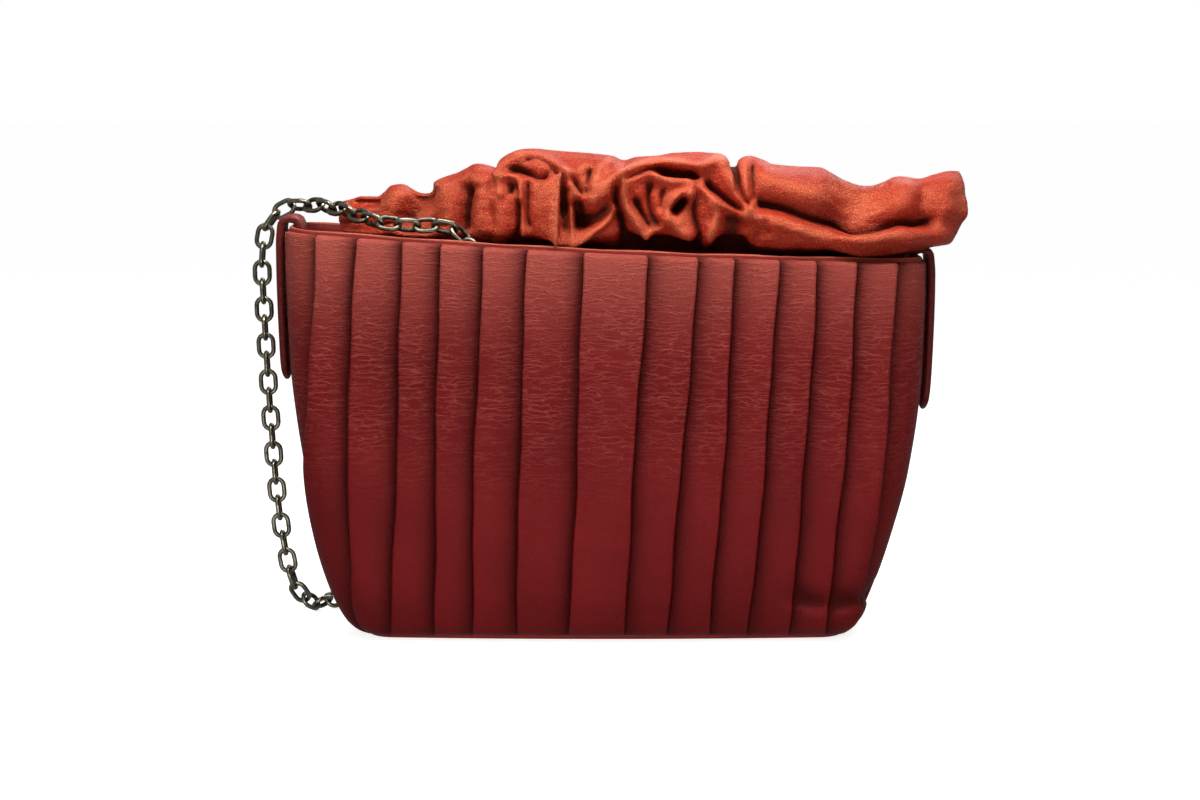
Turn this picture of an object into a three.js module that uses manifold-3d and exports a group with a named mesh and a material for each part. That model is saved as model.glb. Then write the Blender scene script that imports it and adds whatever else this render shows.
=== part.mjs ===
// A pleated leather bag with a gathered collar that closes its mouth, and a cable-chain strap.
// Millimetres. +X is to the right as the front is seen, +Y runs to the back and +Z is up.
// The origin is the middle of the base's underside, which stands on the table.
import * as THREE from "three";
import { mergeVertices } from "three/addons/utils/BufferGeometryUtils.js";
import Module from "manifold-3d";

const wasm = await Module();
wasm.setup();

// Body
const BODY_HALF_WIDTH = 126; // centre to side at the rim
const BODY_HEIGHT = 152.3; // base to the pleats' tops on the centre line
const BODY_HALF_DEPTH = 36; // centre to front or back where the body is fullest
const RIM_TILT = 6; // the rim is this much higher at the left end and lower at the right
const RIM_SAG = 2.2; // and its middle hangs this much below the line between its ends
const CORNER_RADIUS = 17; // of the upright corners where the body is fullest
const FACE_CROWN = 3; // how far the middle of a face stands out past its corners
const HEM_ARCH = 1.6; // how far the lower edge lifts off the table in the middle
const GUSSET_HALF_WIDTH = 10;
const GUSSET_PINCH = 4; // how far a gusset folds inwards where the body is fullest
const PANEL_WALL = 2;
const BASE_THICKNESS = 3;
const GAP = 0.3; // between neighbouring pieces
const SEAM_DEPTH = GUSSET_HALF_WIDTH + GAP / 2; // centre to the panels' edges at the side seams

// Pleats
const PLEAT_LIFT = 2.8; // a fold's edge over its neighbour
const PLEAT_TUCK = 0.3; // share of the lift that is left where a pleat slips under the next
const CORNER_STEPS = 3; // of the plain stretch between the outermost pleat and the side seam
const ROUND_STEPS = 4; // of the outermost pleats, which turn round the upright corners

// Mouth
const BINDING_WALL = 1.6;
const BINDING_DEPTH = 6; // below the rim
const BINDING_REVEAL = 2.2; // above the rim
const TAB_HALF_WIDTH = 10;
const TAB_THICKNESS = 2.6;
const TAB_OUTER_LENGTH = 60; // below the rim, outside
const TAB_INNER_LENGTH = 20; // below the rim, inside
const TAB_CHAMFER = 1; // of the tab's middle layer where it bends over the rim
const TAB_REST = 0.8; // between a tab's outer leg and the side that it lies against

// Collar
const COLLAR_WALL = 1.8;
const COLLAR_END_ROOM = 8; // between the body's sides and the ends of the collar's plan
const COLLAR_HALF_LENGTH = BODY_HALF_WIDTH - COLLAR_END_ROOM;
const COLLAR_SIDE_ROOM = 5.3; // between the rim and the collar's plan where both are deepest
const COLLAR_SKIRT = 34; // how far the collar reaches down inside the body
const COLLAR_RISE = 38; // crest over the rim where the gathers stand highest
const COLLAR_SWELL = 9; // how far a full gather swells out over the rim
const COLLAR_SQUARENESS = 3; // exponent of the collar's oval plan

// Chain
const LINK_LENGTH = 11.1;
const LINK_WIDTH = 7.8;
const WIRE = 1.9;
const LINK_SEAT = 0.12; // how far neighbouring links are pressed into each other, as one body
const LINK_STATIONS = 10;
const WIRE_SIDES = 5;
const STAPLE_WIRE = 2;
const STAPLE_SIDES = 6;
const STAPLE_PLATE = { width: 14, height: 6, thickness: 1 };

// A staple's wire from foot to foot: shares of the way from its middle and of its reach.
const STAPLE_ARCH = [
  { along: -1, out: 0 },
  { along: -0.7, out: 0.8 },
  { along: -0.35, out: 1 },
  { along: 0.35, out: 1 },
  { along: 0.7, out: 0.8 },
  { along: 1, out: 0 },
];

// Body sections: shares of the height, half-width, half-depth, pleat lift and gusset pinch.
const BODY_SECTIONS = [
  { up: 0, width: 0.765, depth: 0.76, lift: 0.35, pinch: 0 },
  { up: 0.04, width: 0.803, depth: 0.85, lift: 0.75, pinch: 0 },
  { up: 0.12, width: 0.845, depth: 0.93, lift: 0.95, pinch: 0.5 },
  { up: 0.26, width: 0.9, depth: 0.98, lift: 1, pinch: 1 },
  { up: 0.45, width: 0.956, depth: 1, lift: 1, pinch: 1 },
  { up: 0.7, width: 0.993, depth: 0.93, lift: 1, pinch: 0.6 },
  { up: 0.93, width: 1, depth: 0.81, lift: 0.9, pinch: 0 },
  { up: 1, width: 1, depth: 0.78, lift: 0.75, pinch: 0 },
];

const COLLAR_HALF_DEPTH = BODY_HALF_DEPTH * BODY_SECTIONS.at(-1).depth - COLLAR_SIDE_ROOM;

// The folds' edges from left to right: places at the rim, half-way up and at the hem, as shares of
// the half-width from the middle. Left of the middle pleat each fold faces left, right of it right.
const FOLDS = [
  { rim: -0.887, waist: -0.915, hem: -0.93, faces: -1 },
  { rim: -0.762, waist: -0.794, hem: -0.745, faces: -1 },
  { rim: -0.624, waist: -0.641, hem: -0.67, faces: -1 },
  { rim: -0.508, waist: -0.521, hem: -0.532, faces: -1 },
  { rim: -0.373, waist: -0.402, hem: -0.416, faces: -1 },
  { rim: -0.241, waist: -0.263, hem: -0.278, faces: -1 },
  { rim: -0.07, waist: -0.088, hem: -0.113, faces: -1 },
  { rim: 0.129, waist: 0.088, hem: 0.056, faces: 1 },
  { rim: 0.285, waist: 0.235, hem: 0.187, faces: 1 },
  { rim: 0.395, waist: 0.363, hem: 0.319, faces: 1 },
  { rim: 0.53, waist: 0.49, hem: 0.441, faces: 1 },
  { rim: 0.649, waist: 0.612, hem: 0.567, faces: 1 },
  { rim: 0.772, waist: 0.735, hem: 0.68, faces: 1 },
  { rim: 0.897, waist: 0.853, hem: 0.75, faces: 1 },
];

// Columns of the smooth faces, as shares of a panel from its middle to its side seams.
const SMOOTH_COLUMNS = [-1, -0.93, -0.86, -0.79, -0.71, -0.36, 0, 0.36, 0.71, 0.79, 0.86, 0.93, 1];

// A side tab's outer leg from its tip: shares of its length below the rim, its half-width and its
// thickness.
const TAB_LEG = [
  { down: 1, width: 0.45, thick: 0.5 },
  { down: 0.95, width: 0.8, thick: 0.8 },
  { down: 0.86, width: 1, thick: 1 },
  { down: 0.45, width: 1, thick: 1 },
  { down: 0.1, width: 1, thick: 1 },
];

// Collar, from its hem inside the body to the lip of its mouth: shares of the skirt below the rim,
// of the local rise over it, of the half-length, of the half-depth and of the swell, and the share
// of the half-length that the ring is carried to the right. The hem itself follows the body's wall.
const COLLAR_LEVELS = [
  { skirt: 1, rise: 0, length: 0.94, depth: 1, swell: 0, carry: 0 },
  { skirt: 0.6, rise: 0, length: 0.93, depth: 0.6, swell: 0, carry: 0 },
  { skirt: 0, rise: 0.12, length: 0.9, depth: 0.54, swell: 0.1, carry: 0.03 },
  { skirt: 0, rise: 0.28, length: 1.03, depth: 0.76, swell: 0.8, carry: 0.14 },
  { skirt: 0, rise: 0.66, length: 1.05, depth: 0.74, swell: 1, carry: 0.155 },
  { skirt: 0, rise: 1, length: 1.01, depth: 0.5, swell: 0.5, carry: 0.145 },
  { skirt: 0, rise: 0.84, length: 0.94, depth: 0.32, swell: 0, carry: 0.13 },
];

// Gathers, from the left end to the right: place along the half-length, crest as a share of the
// rise, swell of the front and of the back, and how far the mouth drifts back, as a share of the
// half-depth.
const GATHERS = [
  { along: -1, rise: 0.3, front: 0, back: 0, drift: 0.3 },
  { along: -0.97, rise: 0.34, front: -0.5, back: 0, drift: 0.28 },
  { along: -0.9, rise: 0.4, front: -0.3, back: 0.3, drift: 0.25 },
  { along: -0.79, rise: 0.53, front: -0.5, back: -0.4, drift: 0.2 },
  { along: -0.71, rise: 0.47, front: -0.1, back: 0.4, drift: 0.16 },
  { along: -0.58, rise: 0.76, front: -0.6, back: -0.4, drift: 0.1 },
  { along: -0.48, rise: 0.77, front: 0.3, back: 0.3, drift: 0.05 },
  { along: -0.39, rise: 1, front: -0.2, back: -0.4, drift: 0 },
  { along: -0.24, rise: 1.01, front: 0.9, back: 0.4, drift: 0 },
  { along: -0.1, rise: 0.95, front: -0.2, back: -0.5, drift: 0 },
  { along: 0.02, rise: 1, front: 0.8, back: -0.2, drift: 0 },
  { along: 0.15, rise: 1.05, front: 0, back: -0.4, drift: 0 },
  { along: 0.28, rise: 0.93, front: 0.9, back: 0.5, drift: 0 },
  { along: 0.36, rise: 1, front: 0.4, back: -0.3, drift: 0 },
  { along: 0.52, rise: 0.94, front: 1.3, back: 0.5, drift: 0 },
  { along: 0.7, rise: 0.77, front: 0.8, back: -0.3, drift: -0.04 },
  { along: 0.81, rise: 0.83, front: 1.3, back: 0.4, drift: -0.08 },
  { along: 0.92, rise: 0.89, front: 0.9, back: -0.2, drift: -0.12 },
  { along: 0.98, rise: 0.9, front: 1, back: 0.2, drift: -0.15 },
  { along: 1, rise: 0.9, front: 0, back: 0, drift: -0.15 },
];

// The strap's route, chosen by hand: out of the mouth at the front, along the front rim, over the
// left end, down to the table, along it behind the bag, and up the back into the mouth again.
// Shares of the half-width from the middle to the right, of the half-depth from the middle to the
// back and of the height over the table. Roll turns the links about the route, in degrees.
const STRAP_ROUTE = [
  { right: -0.413, back: -0.522, up: 0.932, roll: 90 },
  { right: -0.414, back: -0.531, up: 0.988, roll: 80 },
  { right: -0.44, back: -0.536, up: 1.045, roll: 55 },
  { right: -0.492, back: -0.536, up: 1.068, roll: 45 },
  { right: -0.571, back: -0.536, up: 1.068, roll: 45 },
  { right: -0.667, back: -0.514, up: 1.073, roll: 45 },
  { right: -0.746, back: -0.375, up: 1.085, roll: 45 },
  { right: -0.81, back: -0.125, up: 1.099, roll: 45 },
  { right: -0.869, back: 0.125, up: 1.106, roll: 45 },
  { right: -0.937, back: 0.347, up: 1.108, roll: 45 },
  { right: -1.008, back: 0.467, up: 1.103, roll: 30 },
  { right: -1.071, back: 0.5, up: 1.064, roll: 10 },
  { right: -1.095, back: 0.514, up: 0.985, roll: 0 },
  { right: -1.092, back: 0.514, up: 0.821, roll: 0 },
  { right: -1.084, back: 0.514, up: 0.657, roll: 0 },
  { right: -1.073, back: 0.514, up: 0.492, roll: 0 },
  { right: -1.059, back: 0.522, up: 0.328, roll: 0 },
  { right: -1.037, back: 0.533, up: 0.184, roll: 0 },
  { right: -1.008, back: 0.561, up: 0.085, roll: 10 },
  { right: -0.964, back: 0.667, up: 0.033, roll: 35 },
  { right: -0.913, back: 0.917, up: 0.024, roll: 45 },
  { right: -0.849, back: 1.167, up: 0.024, roll: 45 },
  { right: -0.746, back: 1.361, up: 0.024, roll: 45 },
  { right: -0.556, back: 1.444, up: 0.024, roll: 45 },
  { right: -0.238, back: 1.444, up: 0.024, roll: 45 },
  { right: -0.063, back: 1.403, up: 0.026, roll: 45 },
  { right: 0.032, back: 1.333, up: 0.059, roll: 45 },
  { right: 0.071, back: 1.236, up: 0.138, roll: 45 },
  { right: 0.079, back: 1.167, up: 0.263, roll: 45 },
  { right: 0.079, back: 1.139, up: 0.394, roll: 45 },
  { right: 0.079, back: 1.125, up: 0.591, roll: 45 },
  { right: 0.079, back: 1.042, up: 0.821, roll: 45 },
  { right: 0.079, back: 0.944, up: 0.985, roll: 45 },
  { right: 0.079, back: 0.792, up: 1.051, roll: 50 },
  { right: 0.079, back: 0.611, up: 1.054, roll: 60 },
  { right: 0.079, back: 0.528, up: 0.995, roll: 80 },
  { right: 0.079, back: 0.517, up: 0.915, roll: 90 },
];

const LEATHER = { color: 0x7e2622, roughness: 0.55, metalness: 0 };
const EDGE_LEATHER = { color: 0x5c1517, roughness: 0.5, metalness: 0 };
const COLLAR_LEATHER = { color: 0xa83c26, roughness: 0.42, metalness: 0.05 };
const CHAIN_METAL = { color: 0x77705f, roughness: 0.34, metalness: 1 };

const group = new THREE.Group();

function addPiece(name, geometry, finish) {
  const mesh = new THREE.Mesh(geometry, new THREE.MeshStandardMaterial(finish));
  mesh.name = name;
  group.add(mesh);
}

// Shapes

/** A closed surface from points and triangles, turned so that its faces point out. */
function closedSurface(points, triangles) {
  let volume = 0;
  for (const [a, b, c] of triangles) {
    volume += points[a].dot(new THREE.Vector3().crossVectors(points[b], points[c]));
  }
  const index = triangles.flatMap(([a, b, c]) => (volume < 0 ? [a, c, b] : [a, b, c]));
  const geometry = new THREE.BufferGeometry().setFromPoints(points);
  geometry.setIndex(index);
  geometry.computeVertexNormals();
  return geometry;
}

/** The triangles between two loops of count points that start at the indices from and to. */
function bandBetween(from, to, count) {
  const triangles = [];
  for (let i = 0; i < count; i += 1) {
    const j = (i + 1) % count;
    triangles.push([from + i, from + j, to + j], [from + i, to + j, to + i]);
  }
  return triangles;
}

/**
 * Triangles across the end of a wall, turned the way the section's points run. The first points run
 * along one side of the wall and the others back along its other side.
 */
function acrossWall(section, firstCount) {
  const triangles = [];
  let i = 0;
  let j = section.length - 1;
  while (i < firstCount - 1 || j > firstCount) {
    const onward = i < firstCount - 1 ? section[i + 1].distanceTo(section[j]) : Infinity;
    const back = j > firstCount ? section[i].distanceTo(section[j - 1]) : Infinity;
    if (onward <= back) {
      triangles.push([i, i + 1, j]);
      i += 1;
    } else {
      triangles.push([i, j - 1, j]);
      j -= 1;
    }
  }
  return triangles;
}

/** A wall through sections of equally many points, of which firstCount run along its first side. */
function loft(sections, firstCount = sections[0].length / 2) {
  const count = sections[0].length;
  const last = (sections.length - 1) * count;
  return closedSurface(sections.flat(), [
    ...sections.slice(1).flatMap((_, i) => bandBetween(i * count, (i + 1) * count, count)),
    ...acrossWall(sections[0], firstCount).map(([a, b, c]) => [a, c, b]),
    ...acrossWall(sections.at(-1), firstCount).map((triangle) => triangle.map((i) => i + last)),
  ]);
}

/** A closed ring through sections of equally many points. */
function ring(sections) {
  const count = sections[0].length;
  const triangles = sections.flatMap((_, i) => {
    return bandBetween(i * count, ((i + 1) % sections.length) * count, count);
  });
  return closedSurface(sections.flat(), triangles);
}

/** Sections of a wire with the given number of sides, mitred at each point of its centre line. */
function wireSections(centres, closed, radius, sides, normal) {
  const count = centres.length;
  return centres.map((centre, i) => {
    const before = closed || i > 0 ? centres[(i + count - 1) % count] : null;
    const after = closed || i < count - 1 ? centres[(i + 1) % count] : null;
    const arriving = new THREE.Vector3().subVectors(centre, before ?? centre).normalize();
    const leaving = new THREE.Vector3().subVectors(after ?? centre, centre).normalize();
    const along = new THREE.Vector3().addVectors(arriving, leaving).normalize();
    const mitre = 1 / Math.max(along.dot(arriving), along.dot(leaving));
    const out = new THREE.Vector3().crossVectors(along, normal).normalize();
    return Array.from({ length: sides }, (_, k) => {
      const angle = (2 * Math.PI * (k + 0.5)) / sides;
      return centre
        .clone()
        .addScaledVector(out, radius * mitre * Math.cos(angle))
        .addScaledVector(normal, radius * Math.sin(angle));
    });
  });
}

/** A three.js geometry as a manifold solid. */
function solidOf(geometry) {
  const bare = new THREE.BufferGeometry();
  bare.setAttribute("position", geometry.getAttribute("position"));
  if (geometry.index) bare.setIndex(geometry.index);
  const merged = mergeVertices(bare, 1e-4);
  return new wasm.Manifold(
    new wasm.Mesh({
      numProp: 3,
      vertProperties: merged.attributes.position.array,
      triVerts: new Uint32Array(merged.index.array),
    }),
  );
}

/** A manifold solid as a three.js geometry. */
function geometryOf(solid) {
  const mesh = solid.getMesh();
  const geometry = new THREE.BufferGeometry();
  const positions = new Float32Array(mesh.numVert * 3);
  for (let i = 0; i < mesh.numVert; i += 1) {
    positions.set(mesh.vertProperties.subarray(i * mesh.numProp, i * mesh.numProp + 3), i * 3);
  }
  geometry.setAttribute("position", new THREE.BufferAttribute(positions, 3));
  geometry.setIndex(new THREE.BufferAttribute(mesh.triVerts, 1));
  geometry.computeVertexNormals();
  return geometry;
}

/** The value of one column of a table at a place between its rows. */
function between(rows, place, key, at) {
  const next = rows.findIndex((row) => row[place] >= at);
  if (next <= 0) return rows[next < 0 ? rows.length - 1 : 0][key];
  const [a, b] = [rows[next - 1], rows[next]];
  return THREE.MathUtils.mapLinear(at, a[place], b[place], a[key], b[key]);
}

// Body

/** The body's plan at a share of its height: lengths of a panel's flat, its corner arc and its cheek. */
function planAt(up) {
  const depth = between(BODY_SECTIONS, "up", "depth", up);
  const halfDepth = BODY_HALF_DEPTH * depth;
  const halfWidth = BODY_HALF_WIDTH * between(BODY_SECTIONS, "up", "width", up);
  const corner = Math.min(CORNER_RADIUS * depth, halfDepth - FACE_CROWN - SEAM_DEPTH);
  return {
    halfWidth,
    halfDepth,
    corner,
    flat: halfWidth - corner,
    arc: (corner * Math.PI) / 2,
    cheek: halfDepth - FACE_CROWN - corner - SEAM_DEPTH,
    lift: PLEAT_LIFT * between(BODY_SECTIONS, "up", "lift", up),
  };
}

/** Height of the rim over x. */
const rimAt = (x) => BODY_HEIGHT - RIM_TILT * (x / BODY_HALF_WIDTH) + RIM_SAG * (x / BODY_HALF_WIDTH) ** 2;

/** Height of the panels' lower edge over x. */
const hemAt = (x) => HEM_ARCH * Math.max(0, 1 - (x / BODY_HALF_WIDTH) ** 2);

/** Height at a share of the way from the lower edge to the rim. */
const heightAt = (x, up) => THREE.MathUtils.lerp(hemAt(x), rimAt(x), up);

/**
 * A point of a panel: share runs from seam to seam, offset stands out of the panel, and side is
 * -1 for the front and 1 for the back.
 */
function panelPoint(up, share, offset, side) {
  const { halfDepth, corner, flat, arc, cheek } = planAt(up);
  const length = Math.abs(share) * (flat + arc + cheek);
  const turn = THREE.MathUtils.clamp((length - flat) / corner, 0, Math.PI / 2);
  const crown = FACE_CROWN * (1 - Math.min(length / flat, 1) ** 2);
  const past = Math.max(0, length - flat - arc);
  const x = Math.min(length, flat) + (corner + offset) * Math.sin(turn);
  const depth = halfDepth - FACE_CROWN - corner + crown + (corner + offset) * Math.cos(turn) - past;
  const signedX = Math.sign(share) * x;
  return new THREE.Vector3(signedX, side * depth, heightAt(signedX, up));
}

/** Depth from the middle to a panel's inner face at a place on it. */
function wallDepth(x, z) {
  const up = (z - hemAt(x)) / (rimAt(x) - hemAt(x));
  const face = SMOOTH_COLUMNS.map((share) => panelPoint(up, share, -PANEL_WALL, 1));
  return between(face, "x", "y", x);
}

/** Where a fold lies at a share of the height, as a share of the panel from its middle to its seam. */
function foldShare(fold, up) {
  const { flat, corner, arc, cheek } = planAt(up);
  const [low, high, part] = up < 0.5 ? ["hem", "waist", 2 * up] : ["waist", "rim", 2 * up - 1];
  const x = BODY_HALF_WIDTH * THREE.MathUtils.lerp(fold[low], fold[high], part);
  const past = THREE.MathUtils.clamp((Math.abs(x) - flat) / corner, 0, 1);
  const length = Math.min(Math.abs(x), flat) + corner * Math.asin(past);
  return (Math.sign(x) * length) / (flat + arc + cheek);
}

/** The front panel's outer line at one height, as shares and lifts: a saw tooth for each pleat. */
function pleatLine(up) {
  const { lift } = planAt(up);
  const tucked = lift * PLEAT_TUCK;
  const line = [];
  const stretch = (from, to, liftFrom, liftTo, steps) => {
    for (let i = 0; i <= steps; i += 1) {
      const t = i / steps;
      line.push([THREE.MathUtils.lerp(from, to, t), THREE.MathUtils.lerp(liftFrom, liftTo, t)]);
    }
  };
  const edges = FOLDS.map((fold) => foldShare(fold, up));
  const last = FOLDS.length - 1;
  stretch(-1, edges[0], tucked, tucked, CORNER_STEPS);
  for (let i = 0; i < last; i += 1) {
    const steps = i === 0 || i === last - 1 ? ROUND_STEPS : 1;
    const liftFrom = FOLDS[i].faces < 0 ? lift : tucked;
    const liftTo = FOLDS[i + 1].faces > 0 ? lift : tucked;
    stretch(edges[i], edges[i + 1], liftFrom, liftTo, steps);
  }
  stretch(edges[last], 1, tucked, tucked, CORNER_STEPS);
  return line;
}

function frontPanel() {
  const sections = BODY_SECTIONS.map(({ up }) => [
    ...pleatLine(up).map(([share, lift]) => panelPoint(up, share, lift, -1)),
    ...SMOOTH_COLUMNS.toReversed().map((share) => panelPoint(up, share, -PANEL_WALL, -1)),
  ]);
  return loft(sections, sections[0].length - SMOOTH_COLUMNS.length);
}

function backPanel() {
  const sections = BODY_SECTIONS.map(({ up }) => [
    ...SMOOTH_COLUMNS.map((share) => panelPoint(up, share, 0, 1)),
    ...SMOOTH_COLUMNS.toReversed().map((share) => panelPoint(up, share, -PANEL_WALL, 1)),
  ]);
  return loft(sections);
}

/** A side gusset, pinched inwards between its seams. */
function gusset(side) {
  const half = GUSSET_HALF_WIDTH - GAP / 2;
  const sections = BODY_SECTIONS.map(({ up, pinch }) => {
    const { halfWidth } = planAt(up);
    const z = heightAt(side * halfWidth, up);
    const point = (y, inwards) => new THREE.Vector3(side * (halfWidth - inwards), y, z);
    const fold = GUSSET_PINCH * pinch;
    return [
      point(-half, 0),
      point(0, fold),
      point(half, 0),
      point(half, PANEL_WALL),
      point(0, fold + PANEL_WALL),
      point(-half, PANEL_WALL),
    ];
  });
  return loft(sections);
}

/** The stiff base, inside the lower edges of the panels. */
function basePanel() {
  const inset = -(PANEL_WALL + GAP);
  const outline = [
    ...SMOOTH_COLUMNS.map((share) => panelPoint(0, share, inset, -1)),
    ...SMOOTH_COLUMNS.toReversed().map((share) => panelPoint(0, share, inset, 1)),
  ];
  const atHeight = (z) => outline.map((p) => new THREE.Vector3(p.x, p.y, z));
  return loft([atHeight(0), atHeight(BASE_THICKNESS)]);
}

// Mouth

/** The narrow leather binding round the inside of the rim. */
function rimBinding() {
  const section = (share, side) => {
    const at = (inset, up) => {
      const p = panelPoint(1, share, -inset, side);
      return new THREE.Vector3(p.x, p.y, p.z + up);
    };
    const outer = PANEL_WALL + GAP;
    const inner = outer + BINDING_WALL;
    return [
      at(outer, -BINDING_DEPTH),
      at(outer, BINDING_REVEAL),
      at(inner, BINDING_REVEAL),
      at(inner, -BINDING_DEPTH),
    ];
  };
  return ring([
    ...SMOOTH_COLUMNS.map((share) => section(share, -1)),
    ...SMOOTH_COLUMNS.toReversed().map((share) => section(share, 1)),
  ]);
}

/** A leather tab that is folded over the rim at one end of the body. */
function sideTab(side) {
  const half = TAB_THICKNESS / 2;
  const stack = PANEL_WALL + GAP + BINDING_WALL;
  const outerX = BODY_HALF_WIDTH + GAP + half;
  const innerX = BODY_HALF_WIDTH - stack - GAP - half;
  const rim = Math.max(rimAt(side * BODY_HALF_WIDTH), rimAt(side * (BODY_HALF_WIDTH - stack)));
  const top = rim + BINDING_REVEAL + GAP + half;
  const legX = (z) => {
    return BODY_HALF_WIDTH * between(BODY_SECTIONS, "up", "width", z / rim) + TAB_REST + half;
  };
  const leg = TAB_LEG.map(({ down, width, thick }) => {
    const z = rim - TAB_OUTER_LENGTH * down;
    return { x: legX(z) - half * (1 - thick), z, width, thick, turn: 0 };
  });
  const bend = [
    { eighths: 1, x: outerX, z: top - TAB_CHAMFER },
    { eighths: 3, x: outerX - TAB_CHAMFER, z: top },
    { eighths: 5, x: innerX + TAB_CHAMFER, z: top },
    { eighths: 7, x: innerX, z: top - TAB_CHAMFER },
  ].map(({ eighths, x, z }) => {
    return { x, z, width: 1, thick: 1 / Math.cos(Math.PI / 8), turn: (Math.PI * eighths) / 8 };
  });
  const end = { x: innerX, z: rim - TAB_INNER_LENGTH, width: 1, thick: 1, turn: Math.PI };
  const sections = [...leg, ...bend, end].map(({ x, z, width, thick, turn }) => {
    const corner = (out, across) => {
      const offset = out * half * thick;
      const y = across * TAB_HALF_WIDTH * width;
      return new THREE.Vector3(side * (x + offset * Math.cos(turn)), y, z + offset * Math.sin(turn));
    };
    return [corner(1, -1), corner(1, 1), corner(-1, 1), corner(-1, -1)];
  });
  return loft(sections);
}

// Collar

/** A point of the collar's hem, against the inner face of the front (-1) or back (1) panel. */
function collarHem(level, gather, side) {
  const x = COLLAR_HALF_LENGTH * gather.along * level.length;
  const z = rimAt(x) - COLLAR_SKIRT;
  const depth = Math.abs(gather.along) < 1 ? wallDepth(x, z) - GAP : 0;
  return new THREE.Vector3(x, side * depth, z);
}

/** A point of the collar's outer face, at a level and a gather, on the front (-1) or back (1). */
function collarPoint(level, gather, side) {
  if (level.skirt === 1) return collarHem(level, gather, side);
  const round = (1 - Math.abs(gather.along) ** COLLAR_SQUARENESS) ** (1 / COLLAR_SQUARENESS);
  const x = COLLAR_HALF_LENGTH * (gather.along * level.length + level.carry);
  const swell = side < 0 ? gather.front : gather.back;
  const over = level.skirt > 0 ? 0 : 1;
  const depth = COLLAR_HALF_DEPTH * level.depth * round + COLLAR_SWELL * swell * level.swell * round;
  const y = side * depth + COLLAR_HALF_DEPTH * gather.drift * over;
  const rise = COLLAR_RISE * gather.rise * level.rise;
  return new THREE.Vector3(x, y, rimAt(x) - COLLAR_SKIRT * level.skirt + rise);
}

/** The outer face as a grid: one row for each station round the collar. */
function collarFace() {
  const station = (gather, side) => COLLAR_LEVELS.map((level) => collarPoint(level, gather, side));
  const inner = GATHERS.slice(1, -1);
  return [
    station(GATHERS[0], -1),
    ...inner.map((gather) => station(gather, -1)),
    station(GATHERS.at(-1), -1),
    ...inner.toReversed().map((gather) => station(gather, 1)),
  ];
}

/** The collar: a gathered wall of even thickness, open below and along its mouth. */
function gatheredCollar() {
  const face = collarFace();
  const levels = COLLAR_LEVELS.length;
  const sections = face.map((line, i) => {
    const before = face[(i + face.length - 1) % face.length];
    const after = face[(i + 1) % face.length];
    const inside = line.map((p, j) => {
      const round = new THREE.Vector3().subVectors(after[j], before[j]);
      const [below, above] = [line[Math.max(j - 1, 0)], line[Math.min(j + 1, levels - 1)]];
      const up = new THREE.Vector3().subVectors(above, below);
      const normal = round.cross(up).normalize();
      return p.clone().addScaledVector(normal, -COLLAR_WALL);
    });
    return [...line, ...inside.toReversed()];
  });
  return ring(sections);
}

// Strap

/** A place on the strap's route. */
function routePoint({ right, back, up }) {
  return new THREE.Vector3(right * BODY_HALF_WIDTH, back * BODY_HALF_DEPTH, up * BODY_HEIGHT);
}

/** The middles of the wire round one link, lying in its own plane with its length along X. */
function linkLine(length) {
  const perEnd = LINK_STATIONS / 2 - 1;
  const step = Math.PI / perEnd;
  const end = (LINK_WIDTH - WIRE) / 2 / Math.cos(step / 2);
  const straight = (length - LINK_WIDTH) / 2;
  const half = Array.from({ length: perEnd }, (_, i) => {
    const angle = step * (i + 0.5) - Math.PI / 2;
    return new THREE.Vector3(straight + end * Math.cos(angle), end * Math.sin(angle), 0);
  });
  half.push(new THREE.Vector3(0, (LINK_WIDTH - WIRE) / 2, 0));
  return [...half, ...half.map((p) => new THREE.Vector3(-p.x, -p.y, 0))];
}

/** Where the links hook into each other along the route, and how far they are rolled there. */
function strapJoints() {
  const curve = new THREE.CatmullRomCurve3(STRAP_ROUTE.map(routePoint), false, "centripetal");
  curve.arcLengthDivisions = STRAP_ROUTE.length * 40;
  const pairs = Math.round(curve.getLength() / (LINK_LENGTH - 2 * WIRE) / 2 - 0.5);
  const count = 2 * pairs + 1; // so that both end links are turned the same way
  return Array.from({ length: count + 1 }, (_, i) => {
    const t = curve.getUtoTmapping(i / count);
    const place = t * (STRAP_ROUTE.length - 1);
    const row = Math.min(Math.floor(place), STRAP_ROUTE.length - 2);
    const roll = THREE.MathUtils.lerp(STRAP_ROUTE[row].roll, STRAP_ROUTE[row + 1].roll, place - row);
    return { at: curve.getPoint(t), roll };
  });
}

/** One link from joint to joint, turned a quarter from its neighbours and pressed into them. */
function link(from, to, quarter) {
  const along = new THREE.Vector3().subVectors(to.at, from.at);
  const length = along.length() + 2 * WIRE - LINK_SEAT;
  along.normalize();
  const face = new THREE.Vector3(0, 1, 0);
  face.addScaledVector(along, -face.dot(along)).normalize();
  const roll = THREE.MathUtils.degToRad((from.roll + to.roll) / 2);
  face.applyAxisAngle(along, quarter ? roll + Math.PI / 2 : roll);
  const across = new THREE.Vector3().crossVectors(face, along);
  const middle = new THREE.Vector3().addVectors(from.at, to.at).multiplyScalar(0.5);
  const centres = linkLine(length).map((p) => {
    return middle.clone().addScaledVector(along, p.x).addScaledVector(across, p.y);
  });
  return ring(wireSections(centres, true, WIRE / 2, WIRE_SIDES, face));
}

/** The chain as one body. */
function strapChain() {
  const joints = strapJoints();
  const links = joints.slice(1).map((to, i) => solidOf(link(joints[i], to, i % 2 === 1)));
  return geometryOf(wasm.Manifold.union(links));
}

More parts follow.
